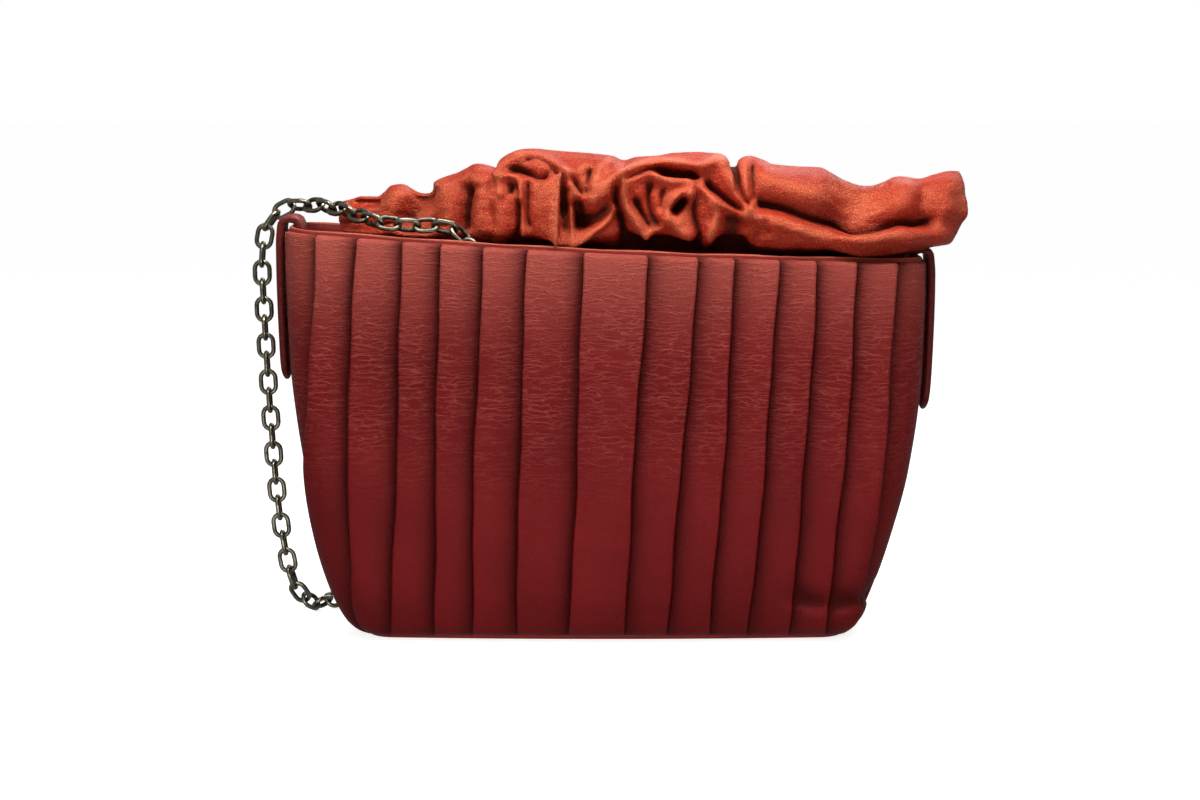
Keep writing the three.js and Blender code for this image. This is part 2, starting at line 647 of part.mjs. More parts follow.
/** A plain wire staple on a panel's inner face, through the link at one end of the route. */
function strapStaple({ x, y, z }) {
  const side = Math.sign(y);
  const { width, height, thickness } = STAPLE_PLATE;
  const middle = z + LINK_SEAT / 2 + GAP + STAPLE_WIRE / 2;
  const edges = [x - width / 2, x + width / 2];
  const levels = [middle - height / 2, middle + height / 2];
  const wall = Math.min(...edges.flatMap((edge) => levels.map((level) => wallDepth(edge, level))));
  const plateDepth = wall - GAP - thickness / 2;
  const plate = new THREE.BoxGeometry(width, thickness, height);
  plate.translate(x, side * plateDepth, middle);
  const foot = width / 2 - STAPLE_WIRE;
  const centres = STAPLE_ARCH.map(({ along, out }) => {
    const depth = THREE.MathUtils.lerp(plateDepth, Math.abs(y), out);
    return new THREE.Vector3(x + foot * along, side * depth, middle);
  });
  const up = new THREE.Vector3(0, 0, 1);
  const wire = loft(wireSections(centres, false, STAPLE_WIRE / 2, STAPLE_SIDES, up));
  return geometryOf(solidOf(plate).add(solidOf(wire)));
}

addPiece("front_panel", frontPanel(), LEATHER);
addPiece("back_panel", backPanel(), LEATHER);
addPiece("gusset_left", gusset(-1), LEATHER);
addPiece("gusset_right", gusset(1), LEATHER);
addPiece("base_panel", basePanel(), EDGE_LEATHER);
addPiece("rim_binding", rimBinding(), EDGE_LEATHER);
addPiece("side_tab_left", sideTab(-1), EDGE_LEATHER);
addPiece("side_tab_right", sideTab(1), EDGE_LEATHER);
addPiece("gathered_collar", gatheredCollar(), COLLAR_LEATHER);
addPiece("strap_chain", strapChain(), CHAIN_METAL);
addPiece("strap_staple_front", strapStaple(routePoint(STRAP_ROUTE[0])), CHAIN_METAL);
addPiece("strap_staple_rear", strapStaple(routePoint(STRAP_ROUTE.at(-1))), CHAIN_METAL);

export default group;
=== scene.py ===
"""A pleated leather bag with a gathered collar and a cable-chain strap, dressed over its CAD frame.

Sizes are in millimetres in the classes below, and meshes are made in metres.
"""

import logging
import math
from dataclasses import dataclass, field
from enum import Enum
from typing import Any

import bpy
import numpy as np
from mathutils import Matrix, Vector

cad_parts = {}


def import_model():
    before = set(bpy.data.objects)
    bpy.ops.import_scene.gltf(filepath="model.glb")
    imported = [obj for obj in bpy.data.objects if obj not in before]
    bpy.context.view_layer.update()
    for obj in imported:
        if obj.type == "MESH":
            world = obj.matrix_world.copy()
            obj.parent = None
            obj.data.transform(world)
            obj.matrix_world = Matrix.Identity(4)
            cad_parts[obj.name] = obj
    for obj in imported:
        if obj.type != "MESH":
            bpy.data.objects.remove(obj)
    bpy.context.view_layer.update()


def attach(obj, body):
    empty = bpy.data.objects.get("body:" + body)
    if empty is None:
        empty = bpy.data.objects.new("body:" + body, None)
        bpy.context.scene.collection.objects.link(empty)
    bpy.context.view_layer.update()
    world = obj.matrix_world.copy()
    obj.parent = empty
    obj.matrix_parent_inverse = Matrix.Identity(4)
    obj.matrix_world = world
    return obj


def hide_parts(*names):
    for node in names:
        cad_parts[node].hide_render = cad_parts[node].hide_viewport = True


LOG = logging.getLogger("bag")
METRES = 0.001
BODY = "root"

Points = np.ndarray
Faces = list[tuple[int, ...]]
Pixel = tuple[float, float]
Colour = tuple[float, float, float]
Place = tuple[float, float, float]

# Painted shading of leather that gets neither a painted highlight nor a painted shade
PLAIN = 0.5


# Numbers and curves


def eased(places: Any, values: Any, at: Any) -> np.ndarray:
    """Values between a table's rows, on a smooth curve that doesn't overshoot them.

    Args:
        places: rising places of the rows.
        values: the rows' values.
        at: where values are wanted. Outside the table its end values hold.

    Returns:
        One value for each place in at.
    """
    x = np.asarray(places, dtype=float)
    y = np.asarray(values, dtype=float)
    gaps = np.diff(x)
    slopes = np.diff(y) / gaps
    tangents = np.empty_like(y)
    tangents[0] = slopes[0]
    tangents[-1] = slopes[-1]
    before, after = slopes[:-1], slopes[1:]
    together = before * after > 0
    total = np.where(together, before + after, 1.0)
    tangents[1:-1] = np.where(together, 2 * before * after / total, 0.0)
    where = np.asarray(at, dtype=float)
    row = np.clip(np.searchsorted(x, where, side="right") - 1, 0, len(gaps) - 1)
    t = np.clip((where - x[row]) / gaps[row], 0.0, 1.0)
    start = (1 + 2 * t) * (1 - t) ** 2 * y[row] + t * (1 - t) ** 2 * gaps[row] * tangents[row]
    end = t * t * (3 - 2 * t) * y[row + 1] - t * t * (1 - t) * gaps[row] * tangents[row + 1]
    return start + end


def smoothstep(low: float, high: float, value: Any) -> np.ndarray:
    """A soft step from 0 at low to 1 at high."""
    t = np.clip((np.asarray(value, dtype=float) - low) / (high - low), 0.0, 1.0)
    return t * t * (3 - 2 * t)


def blurred(grid: np.ndarray, radius: int) -> np.ndarray:
    """A grid of values averaged over its neighbours.

    Args:
        grid: values in rows and columns.
        radius: how many neighbours each way take part.

    Returns:
        The averaged grid, of the same shape.
    """
    result = grid
    for axis in (0, 1):
        ends = [(radius, radius) if own == axis else (0, 0) for own in (0, 1)]
        sums = np.cumsum(np.pad(result, ends, mode="edge"), axis=axis)
        sums = np.concatenate([np.zeros_like(np.take(sums, [0], axis)), sums], axis)
        span = 2 * radius + 1
        count = grid.shape[axis]
        high = np.take(sums, range(span, span + count), axis)
        low = np.take(sums, range(count), axis)
        result = (high - low) / span
    return result


def ripple(x: np.ndarray, z: np.ndarray, seed: int, wave: float) -> np.ndarray:
    """A gentle unevenness between about -1 and 1, made of a few fixed waves.

    Args:
        x: places along the piece.
        z: places up the piece.
        seed: picks the waves.
        wave: the usual distance between two crests.

    Returns:
        One value for each place.
    """
    waves = np.random.default_rng(seed)
    total = np.zeros(np.broadcast(x, z).shape)
    count = 7
    for _ in range(count):
        angle = waves.uniform(0, math.pi)
        length = wave * waves.uniform(0.7, 1.6)
        phase = waves.uniform(0, 2 * math.pi)
        along = x * math.cos(angle) + z * math.sin(angle)
        total = total + np.sin(2 * math.pi * along / length + phase)
    return total / math.sqrt(count)


# Meshes


def grid_faces(rows: int, columns: int, around: bool = False, start: int = 0) -> Faces:
    """Faces of a grid of points that lie row after row.

    Args:
        rows: how many rows of points there are.
        columns: how many points a row has.
        around: whether each row closes on itself.
        start: index of the grid's first point.

    Returns:
        Four-cornered faces.
    """
    faces: Faces = []
    last = columns if around else columns - 1
    for row in range(rows - 1):
        low = start + row * columns
        high = low + columns
        for column in range(last):
            onward = (column + 1) % columns
            faces.append((low + column, low + onward, high + onward, high + column))
    return faces


@dataclass
class Skin:
    """A surface: its points in millimetres, its faces, and the numbers that its finish reads.

    The last flat_faces of its faces are flat ends, which aren't shaded as round. The faces of a
    closed surface are turned to point out of it.
    """

    points: Points
    faces: Faces
    attributes: dict[str, np.ndarray] = field(default_factory=dict)
    flat_faces: int = 0
    closed: bool = False

    def _turn_outward(self, mesh: bpy.types.Mesh) -> None:
        """Flips the mesh's faces if they point into it."""
        mesh.calc_loop_triangles()
        corners = np.empty(len(mesh.loop_triangles) * 3, dtype=np.int64)
        mesh.loop_triangles.foreach_get("vertices", corners)
        a, b, c = self.points[corners.reshape(-1, 3)].transpose(1, 0, 2)
        if np.einsum("ij,ij->i", a, np.cross(b, c)).sum() < 0:
            mesh.flip_normals()

    def make(self, name: str, material: bpy.types.Material) -> bpy.types.Object:
        """The surface as an object in the scene.

        Args:
            name: the object's name.
            material: its finish.

        Returns:
            The new object.
        """
        mesh = bpy.data.meshes.new(name)
        mesh.from_pydata((self.points * METRES).tolist(), [], self.faces)
        smooth = np.ones(len(self.faces), dtype=bool)
        smooth[len(self.faces) - self.flat_faces :] = False
        mesh.polygons.foreach_set("use_smooth", smooth)
        for label, values in self.attributes.items():
            layer = mesh.attributes.new(label, "FLOAT", "POINT")
            layer.data.foreach_set("value", np.asarray(values, dtype=np.float32))
        mesh.materials.append(material)
        mesh.update()
        if self.closed:
            self._turn_outward(mesh)
        piece = bpy.data.objects.new(name, mesh)
        bpy.context.scene.collection.objects.link(piece)
        return piece


def lofted(sections: Points, filled_ends: bool = True) -> Skin:
    """A closed surface over a row of closed sections.

    Args:
        sections: points by section, place in the section, and axis.
        filled_ends: whether the first and last section are filled. If not, the last joins the first.

    Returns:
        The surface.
    """
    count, around = sections.shape[:2]
    points = sections.reshape(-1, 3)
    faces = grid_faces(count, around, around=True)
    last = (count - 1) * around
    if filled_ends:
        faces.append(tuple(reversed(range(around))))
        faces.append(tuple(range(last, count * around)))
        return Skin(points, faces, flat_faces=2, closed=True)
    for column in range(around):
        onward = (column + 1) % around
        faces.append((last + column, last + onward, onward, column))
    return Skin(points, faces, closed=True)


class Piece:
    """A piece of the bag, which stands for one node of the CAD."""

    def skin(self) -> Skin:
        """The piece's surface."""
        raise NotImplementedError

    def build(self, name: str, node: str, slot: str, material: bpy.types.Material) -> None:
        """Makes the piece and puts it on the body.

        Args:
            name: its name.
            node: the CAD node that it replaces.
            slot: the record's material slot; not used.
            material: its finish.
        """
        piece = self.skin().make(name, material)
        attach(piece, BODY)
        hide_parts(node)
        LOG.info("%s: %d faces", name, len(piece.data.polygons))


# Shader recipes


class Signal:
    """One output of a recipe's node, with the arithmetic of a number."""

    def __init__(self, recipe: "Recipe", socket: bpy.types.NodeSocket | None) -> None:
        """Keeps the recipe and the socket, which a node without outputs doesn't have."""
        self.recipe = recipe
        self.socket = socket

    def _math(self, operation: str, *values: Any, clamp: bool = False) -> "Signal":
        """The result of a Math node.

        Args:
            operation: the node's operation.
            values: its inputs in order.
            clamp: whether the result is kept between 0 and 1.

        Returns:
            The node's output.
        """
        settings = {"operation": operation, "use_clamp": clamp}
        return self.recipe.node("ShaderNodeMath", settings, dict(enumerate(values)))

    def __add__(self, other: Any) -> "Signal":
        """The sum."""
        return self._math("ADD", self, other)

    def __radd__(self, other: Any) -> "Signal":
        """The sum."""
        return self._math("ADD", other, self)

    def __sub__(self, other: Any) -> "Signal":
        """The difference."""
        return self._math("SUBTRACT", self, other)

    def __rsub__(self, other: Any) -> "Signal":
        """The difference the other way round."""
        return self._math("SUBTRACT", other, self)

    def __mul__(self, other: Any) -> "Signal":
        """The product."""
        return self._math("MULTIPLY", self, other)

    def clamped(self) -> "Signal":
        """The value kept between 0 and 1."""
        return self._math("MULTIPLY", self, 1.0, clamp=True)

    def between(self, low: float, high: float) -> "Signal":
        """A soft step of the value.

        Args:
            low: where the result is 0.
            high: where it is 1.

        Returns:
            The step.
        """
        settings = {"interpolation_type": "SMOOTHSTEP"}
        sockets = {"Value": self, "From Min": low, "From Max": high}
        return self.recipe.node("ShaderNodeMapRange", settings, sockets)


class Recipe:
    """The nodes of one material or of the world."""

    # the angle that a wave node runs through over a metre at scale 1
    WAVE_ANGLE = 20.0

    def __init__(self, tree: bpy.types.NodeTree) -> None:
        """Starts with an empty tree."""
        self.tree = tree
        tree.nodes.clear()

    def _find(self, sockets: Any, key: str | int) -> bpy.types.NodeSocket:
        """A socket by its place, its identifier or its name."""
        if isinstance(key, int):
            return sockets[key]
        return next((s for s in sockets if s.identifier == key), None) or sockets[key]

    def node(
        self,
        kind: str,
        settings: dict[str, Any] | None = None,
        sockets: dict[str | int, Any] | None = None,
        output: str | int = 0,
    ) -> Signal:
        """Adds a node.

        Args:
            kind: the node's type.
            settings: what is set first, such as an operation.
            sockets: values or signals by socket.
            output: which output is wanted.

        Returns:
            That output.
        """
        node = self.tree.nodes.new(kind)
        for key, value in (settings or {}).items():
            setattr(node, key, value)
        for key, value in (sockets or {}).items():
            socket = self._find(node.inputs, key)
            if isinstance(value, Signal):
                self.tree.links.new(value.socket, socket)
            elif isinstance(value, tuple) and len(value) == 3 and socket.type == "RGBA":
                socket.default_value = (*value, 1.0)
            else:
                socket.default_value = value
        if not node.outputs:
            return Signal(self, None)
        return Signal(self, self._find(node.outputs, output))

    def place(self, stretch: Place = (1.0, 1.0, 1.0)) -> Signal:
        """The place on the piece, with each axis multiplied."""
        spot = self.node("ShaderNodeTexCoord", output="Object")
        settings = {"operation": "MULTIPLY"}
        return self.node("ShaderNodeVectorMath", settings, {0: spot, 1: stretch})

    def height(self) -> Signal:
        """The height over the table, in metres."""
        spot = self.node("ShaderNodeTexCoord", output="Object")
        return self.node("ShaderNodeSeparateXYZ", sockets={0: spot}, output="Z")

    def noise(self, spot: Signal, scale: float, detail: float, output: str | int = 0) -> Signal:
        """Cloudy noise between 0 and 1.

        Args:
            spot: where it is read.
            scale: how many clouds there are in a metre.
            detail: how fine it goes.
            output: its strength at first, or its colours.

        Returns:
            The noise.
        """
        sockets = {"Vector": spot, "Scale": scale, "Detail": detail}
        return self.node("ShaderNodeTexNoise", None, sockets, output)

    def cells(self, spot: Signal, scale: float) -> Signal:
        """The distance to the edge of leather's small grain cells."""
        settings = {"feature": "DISTANCE_TO_EDGE"}
        return self.node("ShaderNodeTexVoronoi", settings, {"Vector": spot, "Scale": scale})

    def waves(self, spot: Signal, count: float, wander: float) -> Signal:
        """Uneven lines that run level.

        Args:
            spot: where they are read.
            count: how many of them lie in a metre.
            wander: how far they stray.

        Returns:
            A value that reaches 1 along the lines.
        """
        settings = {"wave_type": "BANDS", "bands_direction": "Z", "wave_profile": "SIN"}
        scale = 2 * math.pi * count / self.WAVE_ANGLE
        sockets = {"Vector": spot, "Scale": scale, "Distortion": wander, "Detail": 2.5}
        sockets["Detail Scale"] = 1.6
        return self.node("ShaderNodeTexWave", settings, sockets, "Fac")

    def attribute(self, name: str) -> Signal:
        """A number that the mesh holds for each point."""
        return self.node("ShaderNodeAttribute", {"attribute_name": name}, output="Fac")

    def mix(self, factor: Any, first: Any, second: Any) -> Signal:
        """A colour between two colours."""
        settings = {"data_type": "RGBA"}
        sockets = {"Factor_Float": factor, "A_Color": first, "B_Color": second}
        return self.node("ShaderNodeMix", settings, sockets, "Result_Color")

    def bump(self, height: Signal, depth: float) -> Signal:
        """A surface bump of a depth in metres."""
        return self.node("ShaderNodeBump", None, {"Height": height, "Distance": depth})


def new_material(name: str) -> tuple[bpy.types.Material, Recipe]:
    """An empty material and the recipe of its nodes."""
    material = bpy.data.materials.new(name)
    material.use_nodes = True
    return material, Recipe(material.node_tree)


@dataclass(frozen=True)
class LeatherFinish:
    """Grained leather: its colours, the fine wrinkles drawn over it, its pebbles and its gloss.

    Wrinkles are pale lines between cells and along level waves, longer than high where
    wrinkle_stretch is below 1; their paleness is partly a painted highlight where light catches them.
    They are strongest above wrinkle_high and fade out at wrinkle_low, both in metres over the table.
    A painted light pales the leather towards the line colour near the top, from painted_light_start
    to painted_light_end, counted from wrinkle_high. The crease colour is the dark of the tone and the
    pebbles, and the painted shade of hidden places; the crest colour is a painted highlight on raised
    places and a painted sheen on faces that tilt upwards. Scales and counts are for a metre, and depths
    are in metres. A mark says how strongly a thing shows in the colour.
    """

    name: str
    crease: Colour
    face: Colour
    crest: Colour
    line: Colour
    wrinkle_scale: float = 580.0
    wrinkle_stretch: float = 0.25
    wrinkle_depth: float = 0.0003
    wrinkle_mark: float = 0.36
    drift_scale: float = 150.0
    drift_reach: Place = (0.001, 0.001, 0.0018)
    cell_mark: float = 0.65
    wave_count: float = 480.0
    wave_stretch: float = 1.8
    wave_wander: float = 9.0
    wave_mark: float = 0.75
    pebble_scale: float = 1400.0
    pebble_depth: float = 0.00014
    pebble_mark: float = 0.22
    grit_scale: float = 900.0
    grit_mark: float = 0.6
    patch_scale: float = 55.0
    cloud_scale: float = 24.0
    cloud_mark: float = 0.3
    painted_top_light: float = 0.16
    painted_light_start: float = -0.025
    painted_light_end: float = 0.07
    painted_sheen: float = 0.0
    wrinkle_low: float = 0.03
    wrinkle_high: float = 0.1
    roughness: float = 0.5
    specular: float = 0.22
    gloss: Colour = (1.0, 0.8, 0.7)

    def _lines(self, recipe: Recipe) -> Signal:
        """The wrinkles, broken off here and there.

        Args:
            recipe: where the nodes go.

        Returns:
            How strongly a line shows.
        """
        stretch = self.wrinkle_stretch
        wave_stretch = stretch * self.wave_stretch
        drawn = recipe.place((stretch, stretch, 1.0))
        waved = recipe.place((wave_stretch, wave_stretch, 1.0))
        drift = recipe.noise(recipe.place(), self.drift_scale, 2.0, "Color")
        spot = recipe.node(
            "ShaderNodeVectorMath",
            {"operation": "MULTIPLY_ADD"},
            {0: drift, 1: self.drift_reach, 2: drawn},
        )
        cells = 1.0 - recipe.cells(spot, self.wrinkle_scale).between(0.0, 0.13)
        waves = recipe.waves(waved, self.wave_count, self.wave_wander).between(0.76, 1.0)
        broken = recipe.noise(drawn, self.wrinkle_scale * 0.8, 1.0).between(0.3, 0.52)
        return (cells * self.cell_mark + waves * self.wave_mark) * broken

    def make(self) -> bpy.types.Material:
        """The finish as a material.

        Returns:
            The material.
        """
        material, recipe = new_material(self.name)
        spot = recipe.place()
        pebbles = recipe.cells(spot, self.pebble_scale).between(0.0, 0.35)
        patches = recipe.noise(spot, self.patch_scale, 2.0).between(0.35, 0.62)
        cloud = recipe.noise(spot, self.cloud_scale, 2.0)
        grit = recipe.noise(spot, self.grit_scale, 2.0).between(0.55, 0.85)
        height = recipe.height()
        wrinkle_reach = height.between(self.wrinkle_low, self.wrinkle_high)
        painted_top_mask = height.between(self.wrinkle_high + self.painted_light_start, self.wrinkle_high + self.painted_light_end)
        lines = self._lines(recipe) * wrinkle_reach * (patches * 0.4 + 0.6)
        painted_shading = recipe.attribute("painted_shading")
        # masks of the painted shading: painted highlight on raised places, painted shade on hidden ones
        raised = painted_shading.between(0.56, 1.0)
        painted_shade = painted_shading.between(0.48, -0.06)

        colour = recipe.mix(cloud.between(0.3, 0.75) * self.cloud_mark, self.face, self.crease)
        # painted light: the leather paler towards the top
        colour = recipe.mix(painted_top_mask * painted_top_mask * painted_top_mask * self.painted_top_light, colour, self.line)
        # painted highlight on raised places, in the crest colour
        colour = recipe.mix(raised * (cloud * 0.6 + 0.4), colour, self.crest)
        # painted sheen on faces that tilt upwards, in the crest colour
        if self.painted_sheen > 0:
            shine = recipe.attribute("painted_sheen") * (patches * 0.7 + 0.3)
            colour = recipe.mix(shine * self.painted_sheen, colour, self.crest)
        # wrinkle lines: their pattern is the grain's, their paleness partly a painted highlight where
        # light catches them
        colour = recipe.mix(lines * self.wrinkle_mark, colour, self.line)
        speckle = (1.0 - pebbles + grit * self.grit_mark) * self.pebble_mark
        colour = recipe.mix(speckle.clamped(), colour, self.crease)
        # painted shade on hidden places, in the crease colour
        colour = recipe.mix(painted_shade * (painted_shade * 0.4 + 0.58), colour, self.crease)

        depth = self.wrinkle_depth + self.pebble_depth
        lift = lines * (self.wrinkle_depth / depth) + pebbles * (self.pebble_depth / depth)
        shader = recipe.node(
            "ShaderNodeBsdfPrincipled",
            None,
            {
                "Base Color": colour,
                "Roughness": self.roughness + (cloud - 0.5) * 0.16 - lines * 0.08,
                "Normal": recipe.bump(lift, depth),
                "Specular IOR Level": self.specular,
                "Specular Tint": self.gloss,
            },
        )
        recipe.node("ShaderNodeOutputMaterial", None, {"Surface": shader})
        return material


@dataclass(frozen=True)
class MetalFinish:
    """Antiqued metal, polished where it is rubbed and dark in the hollows."""

    name: str = "antiqued_metal"
    polished: Colour = (0.3, 0.27, 0.2)
    dark: Colour = (0.026, 0.021, 0.014)
    cloud_scale: float = 420.0
    speck_scale: float = 1600.0
    speck_depth: float = 0.00008
    roughness: float = 0.27

    def make(self) -> bpy.types.Material:
        """The finish as a material.

        Returns:
            The material.
        """
        material, recipe = new_material(self.name)
        spot = recipe.place()
        cloud = recipe.noise(spot, self.cloud_scale, 4.0)
        specks = recipe.noise(spot, self.speck_scale, 3.0)
        patina = (cloud * 0.7 + specks * 0.3).between(0.42, 0.66)
        dirt = (patina * 0.45 + recipe.attribute("hollow") * 0.75).clamped()
        shader = recipe.node(
            "ShaderNodeBsdfPrincipled",
            None,
            {
                "Base Color": recipe.mix(dirt, self.polished, self.dark),
                "Metallic": 1.0,
                "Roughness": self.roughness + dirt * 0.25,
                "Normal": recipe.bump(specks, self.speck_depth),
            },
        )
        recipe.node("ShaderNodeOutputMaterial", None, {"Surface": shader})
        return material


# The finish of each material slot
FINISHES = {
    "pleated_leather": LeatherFinish(
        "pleated_red_leather",
        crease=(0.045, 0.0008, 0.001),
        face=(0.17, 0.0065, 0.0085),
        crest=(0.5, 0.07, 0.035),
        line=(0.62, 0.14, 0.1),
        painted_top_light=0.62,
        wrinkle_mark=0.23,
        wrinkle_low=0.045,
        specular=0.12,
    ),
    "edge_leather": LeatherFinish(
        "smooth_red_leather",
        crease=(0.04, 0.0015, 0.002),
        face=(0.25, 0.018, 0.014),
        crest=(0.62, 0.14, 0.07),
        line=(0.5, 0.12, 0.08),
        wrinkle_mark=0.1,
        wrinkle_depth=0.00008,
        pebble_depth=0.00005,
        roughness=0.42,
    ),
    "gathered_leather": LeatherFinish(
        "gathered_orange_red_leather",
        crease=(0.045, 0.001, 0.001),
        face=(0.6, 0.026, 0.011),
        crest=(0.92, 0.18, 0.08),
        line=(0.9, 0.22, 0.1),
        wrinkle_scale=700.0,
        wrinkle_stretch=0.8,
        wrinkle_depth=0.00016,
        wrinkle_mark=0.34,
        pebble_scale=1200.0,
        pebble_depth=0.0002,
        pebble_mark=0.5,
        painted_sheen=0.6,
        wrinkle_low=0.1,
        wrinkle_high=0.15,
        roughness=0.42,
        specular=0.42,
        gloss=(1.0, 0.66, 0.4),
    ),
    "chain_metal": MetalFinish(),
}


# The bag's body


class Side(Enum):
    """The front or the back of the bag."""

    FRONT = -1
    BACK = 1


@dataclass(frozen=True)
class BodyForm:
    """The form of the body: the same sizes and sections as its CAD solids."""

    half_width: float = 126.0
    height: float = 152.3
    half_depth: float = 36.0
    rim_tilt: float = 6.0
    rim_sag: float = 2.2
    corner_radius: float = 17.0
    face_crown: float = 3.0
    hem_arch: float = 1.6
    gusset_half_width: float = 10.0
    wall: float = 2.0
    gap: float = 0.3
    sections: dict[str, tuple[float, ...]] = field(
        default_factory=lambda: {
            "up": (0.0, 0.04, 0.12, 0.26, 0.45, 0.7, 0.93, 1.0),
            "width": (0.765, 0.803, 0.845, 0.9, 0.956, 0.993, 1.0, 1.0),
            "depth": (0.76, 0.85, 0.93, 0.98, 1.0, 0.93, 0.81, 0.78),
            "lift": (0.35, 0.75, 0.95, 1.0, 1.0, 1.0, 0.9, 0.75),
            "pinch": (0.0, 0.0, 0.5, 1.0, 1.0, 0.6, 0.0, 0.0),
        }
    )

    def column(self, key: str, up: Any) -> np.ndarray:
        """A column of the sections at shares of the height."""
        return eased(self.sections["up"], self.sections[key], up)

    def plan(self, up: Any) -> dict[str, np.ndarray]:
        """The lengths of a panel's plan.

        Args:
            up: shares of the height.

        Returns:
            The half-depth, the corner's radius, and the lengths of the flat, the corner's arc and
            the cheek past it.
        """
        depth = self.column("depth", up)
        half_depth = self.half_depth * depth
        seam = self.gusset_half_width + self.gap / 2
        corner = np.minimum(self.corner_radius * depth, half_depth - self.face_crown - seam)
        flat = self.half_width * self.column("width", up) - corner
        cheek = half_depth - self.face_crown - corner - seam
        arc = corner * math.pi / 2
        return {"half_depth": half_depth, "corner": corner, "flat": flat, "arc": arc, "cheek": cheek}

    def rim(self, x: Any) -> np.ndarray:
        """The rim's height over x."""
        share = np.asarray(x) / self.half_width
        return self.height - self.rim_tilt * share + self.rim_sag * share**2

    def hem(self, x: Any) -> np.ndarray:
        """The lower edge's height over x."""
        return self.hem_arch * np.maximum(0.0, 1 - (np.asarray(x) / self.half_width) ** 2)

    def along(self, x: float, up: float) -> float:
        """How far along a panel, from its middle, a place over x lies."""
        plan = self.plan(up)
        past = np.clip((abs(x) - plan["flat"]) / plan["corner"], 0.0, 1.0)
        length = min(abs(x), plan["flat"]) + plan["corner"] * math.asin(past)
        return math.copysign(float(length), x)

    def reach(self, up: Any) -> np.ndarray:
        """The length of a panel from its middle to a side seam."""
        plan = self.plan(up)
        return plan["flat"] + plan["arc"] + plan["cheek"]

    def panel(self, up: Any, length: Any, offset: Any, side: Side) -> Points:
        """Points of a panel.

        Args:
            up: shares of the height.
            length: how far along the panel from its middle.
            offset: how far out of the panel.
            side: front or back.

        Returns:
            The points.
        """
        up, length, offset = np.broadcast_arrays(up, length, offset)
        plan = self.plan(up)
        size = np.abs(length)
        turn = np.clip((size - plan["flat"]) / plan["corner"], 0.0, math.pi / 2)
        crown = self.face_crown * (1 - np.minimum(size / plan["flat"], 1.0) ** 2)
        past = np.maximum(0.0, size - plan["flat"] - plan["arc"])
        x = np.minimum(size, plan["flat"]) + (plan["corner"] + offset) * np.sin(turn)
        base = plan["half_depth"] - self.face_crown - plan["corner"] + crown
        depth = base + (plan["corner"] + offset) * np.cos(turn) - past
        signed = np.sign(length) * x
        low = self.hem(signed)
        z = low + up * (self.rim(signed) - low)
        return np.stack([signed, side.value * depth, z], axis=-1)


@dataclass(frozen=True)
class Fold:
    """A pleat's folded edge: its places over the half-width from the middle, and how it faces."""

    rim: float
    waist: float
    hem: float
    faces: int

    def share(self, up: float) -> float:
        """Its place at a share of the height."""
        return float(eased((0.0, 0.5, 1.0), (self.hem, self.waist, self.rim), up))


FOLDS = (
    Fold(-0.887, -0.915, -0.93, -1),
    Fold(-0.762, -0.794, -0.775, -1),
    Fold(-0.624, -0.641, -0.67, -1),
    Fold(-0.508, -0.521, -0.532, -1),
    Fold(-0.373, -0.402, -0.416, -1),
    Fold(-0.241, -0.263, -0.278, -1),
    Fold(-0.07, -0.088, -0.113, -1),
    Fold(0.129, 0.088, 0.056, 1),
    Fold(0.285, 0.235, 0.187, 1),
    Fold(0.395, 0.363, 0.319, 1),
    Fold(0.53, 0.49, 0.441, 1),
    Fold(0.649, 0.612, 0.567, 1),
    Fold(0.772, 0.735, 0.68, 1),
    Fold(0.897, 0.853, 0.775, 1),
)

# How far the panels' insides reach up, and along to the seams, as shares
INSIDE_UP = (0.02, 0.985)
INSIDE_REACH = 0.99


@dataclass
class PanelEdges:
    """How a panel is rounded in at its hem and at its rim."""

    hem_roll: float = 2.6
    hem_gather: float = 0.6
    rim_roll: float = 1.5
    rim_turn: float = 1.8
    roll_steps: int = 5
    rows: int = 110

    def rows_up(self, height: float) -> tuple[np.ndarray, np.ndarray, np.ndarray]:
        """The rows of a panel's grid from the hem to the rim.

        Args:
            height: the panel's height.

        Returns:
            For each row its share of the height, how far it is rolled in, and how far the pleats
            are drawn together there.
        """
        low = np.linspace(math.pi / 2, 0.0, self.roll_steps + 1)
        high = np.linspace(0.0, self.rim_turn, self.roll_steps + 2)
        low_up = self.hem_roll * (1 - np.sin(low)) / height
        high_up = 1 - self.rim_roll * (1 - np.sin(np.minimum(high, math.pi / 2))) / height
        middle = np.linspace(low_up[-1], high_up[0], self.rows)[1:-1]
        up = np.concatenate([low_up, middle, high_up])
        inset = np.concatenate(
            [
                self.hem_roll * (1 - np.cos(low)),
                np.zeros(len(middle)),
                self.rim_roll * (1 - np.cos(high)),
            ]
        )
        hem_drawn = self.hem_gather * (low / (math.pi / 2)) ** 2
        drawn = np.concatenate([hem_drawn, np.zeros(len(middle)), (high / self.rim_turn) ** 3])
        return up, inset, drawn


def two_sheets(outside: Points, inside: Points, painted_shading: np.ndarray, side: Side) -> Skin:
    """A panel's surface, made of its outside and its inside.

    Args:
        outside: points by row and column.
        inside: points by row and column.
        painted_shading: the painted highlight or painted shade of each place of the outside.
        side: front or back.

    Returns:
        The surface.
    """
    outer_faces = grid_faces(*outside.shape[:2])
    inner_faces = grid_faces(*inside.shape[:2], start=painted_shading.size)
    if side is Side.FRONT:
        inner_faces = [face[::-1] for face in inner_faces]
    else:
        outer_faces = [face[::-1] for face in outer_faces]
    points = np.concatenate([outside.reshape(-1, 3), inside.reshape(-1, 3)])
    levels = np.full(len(points), PLAIN)
    levels[: painted_shading.size] = painted_shading.ravel()
    return Skin(points, outer_faces + inner_faces, {"painted_shading": levels})


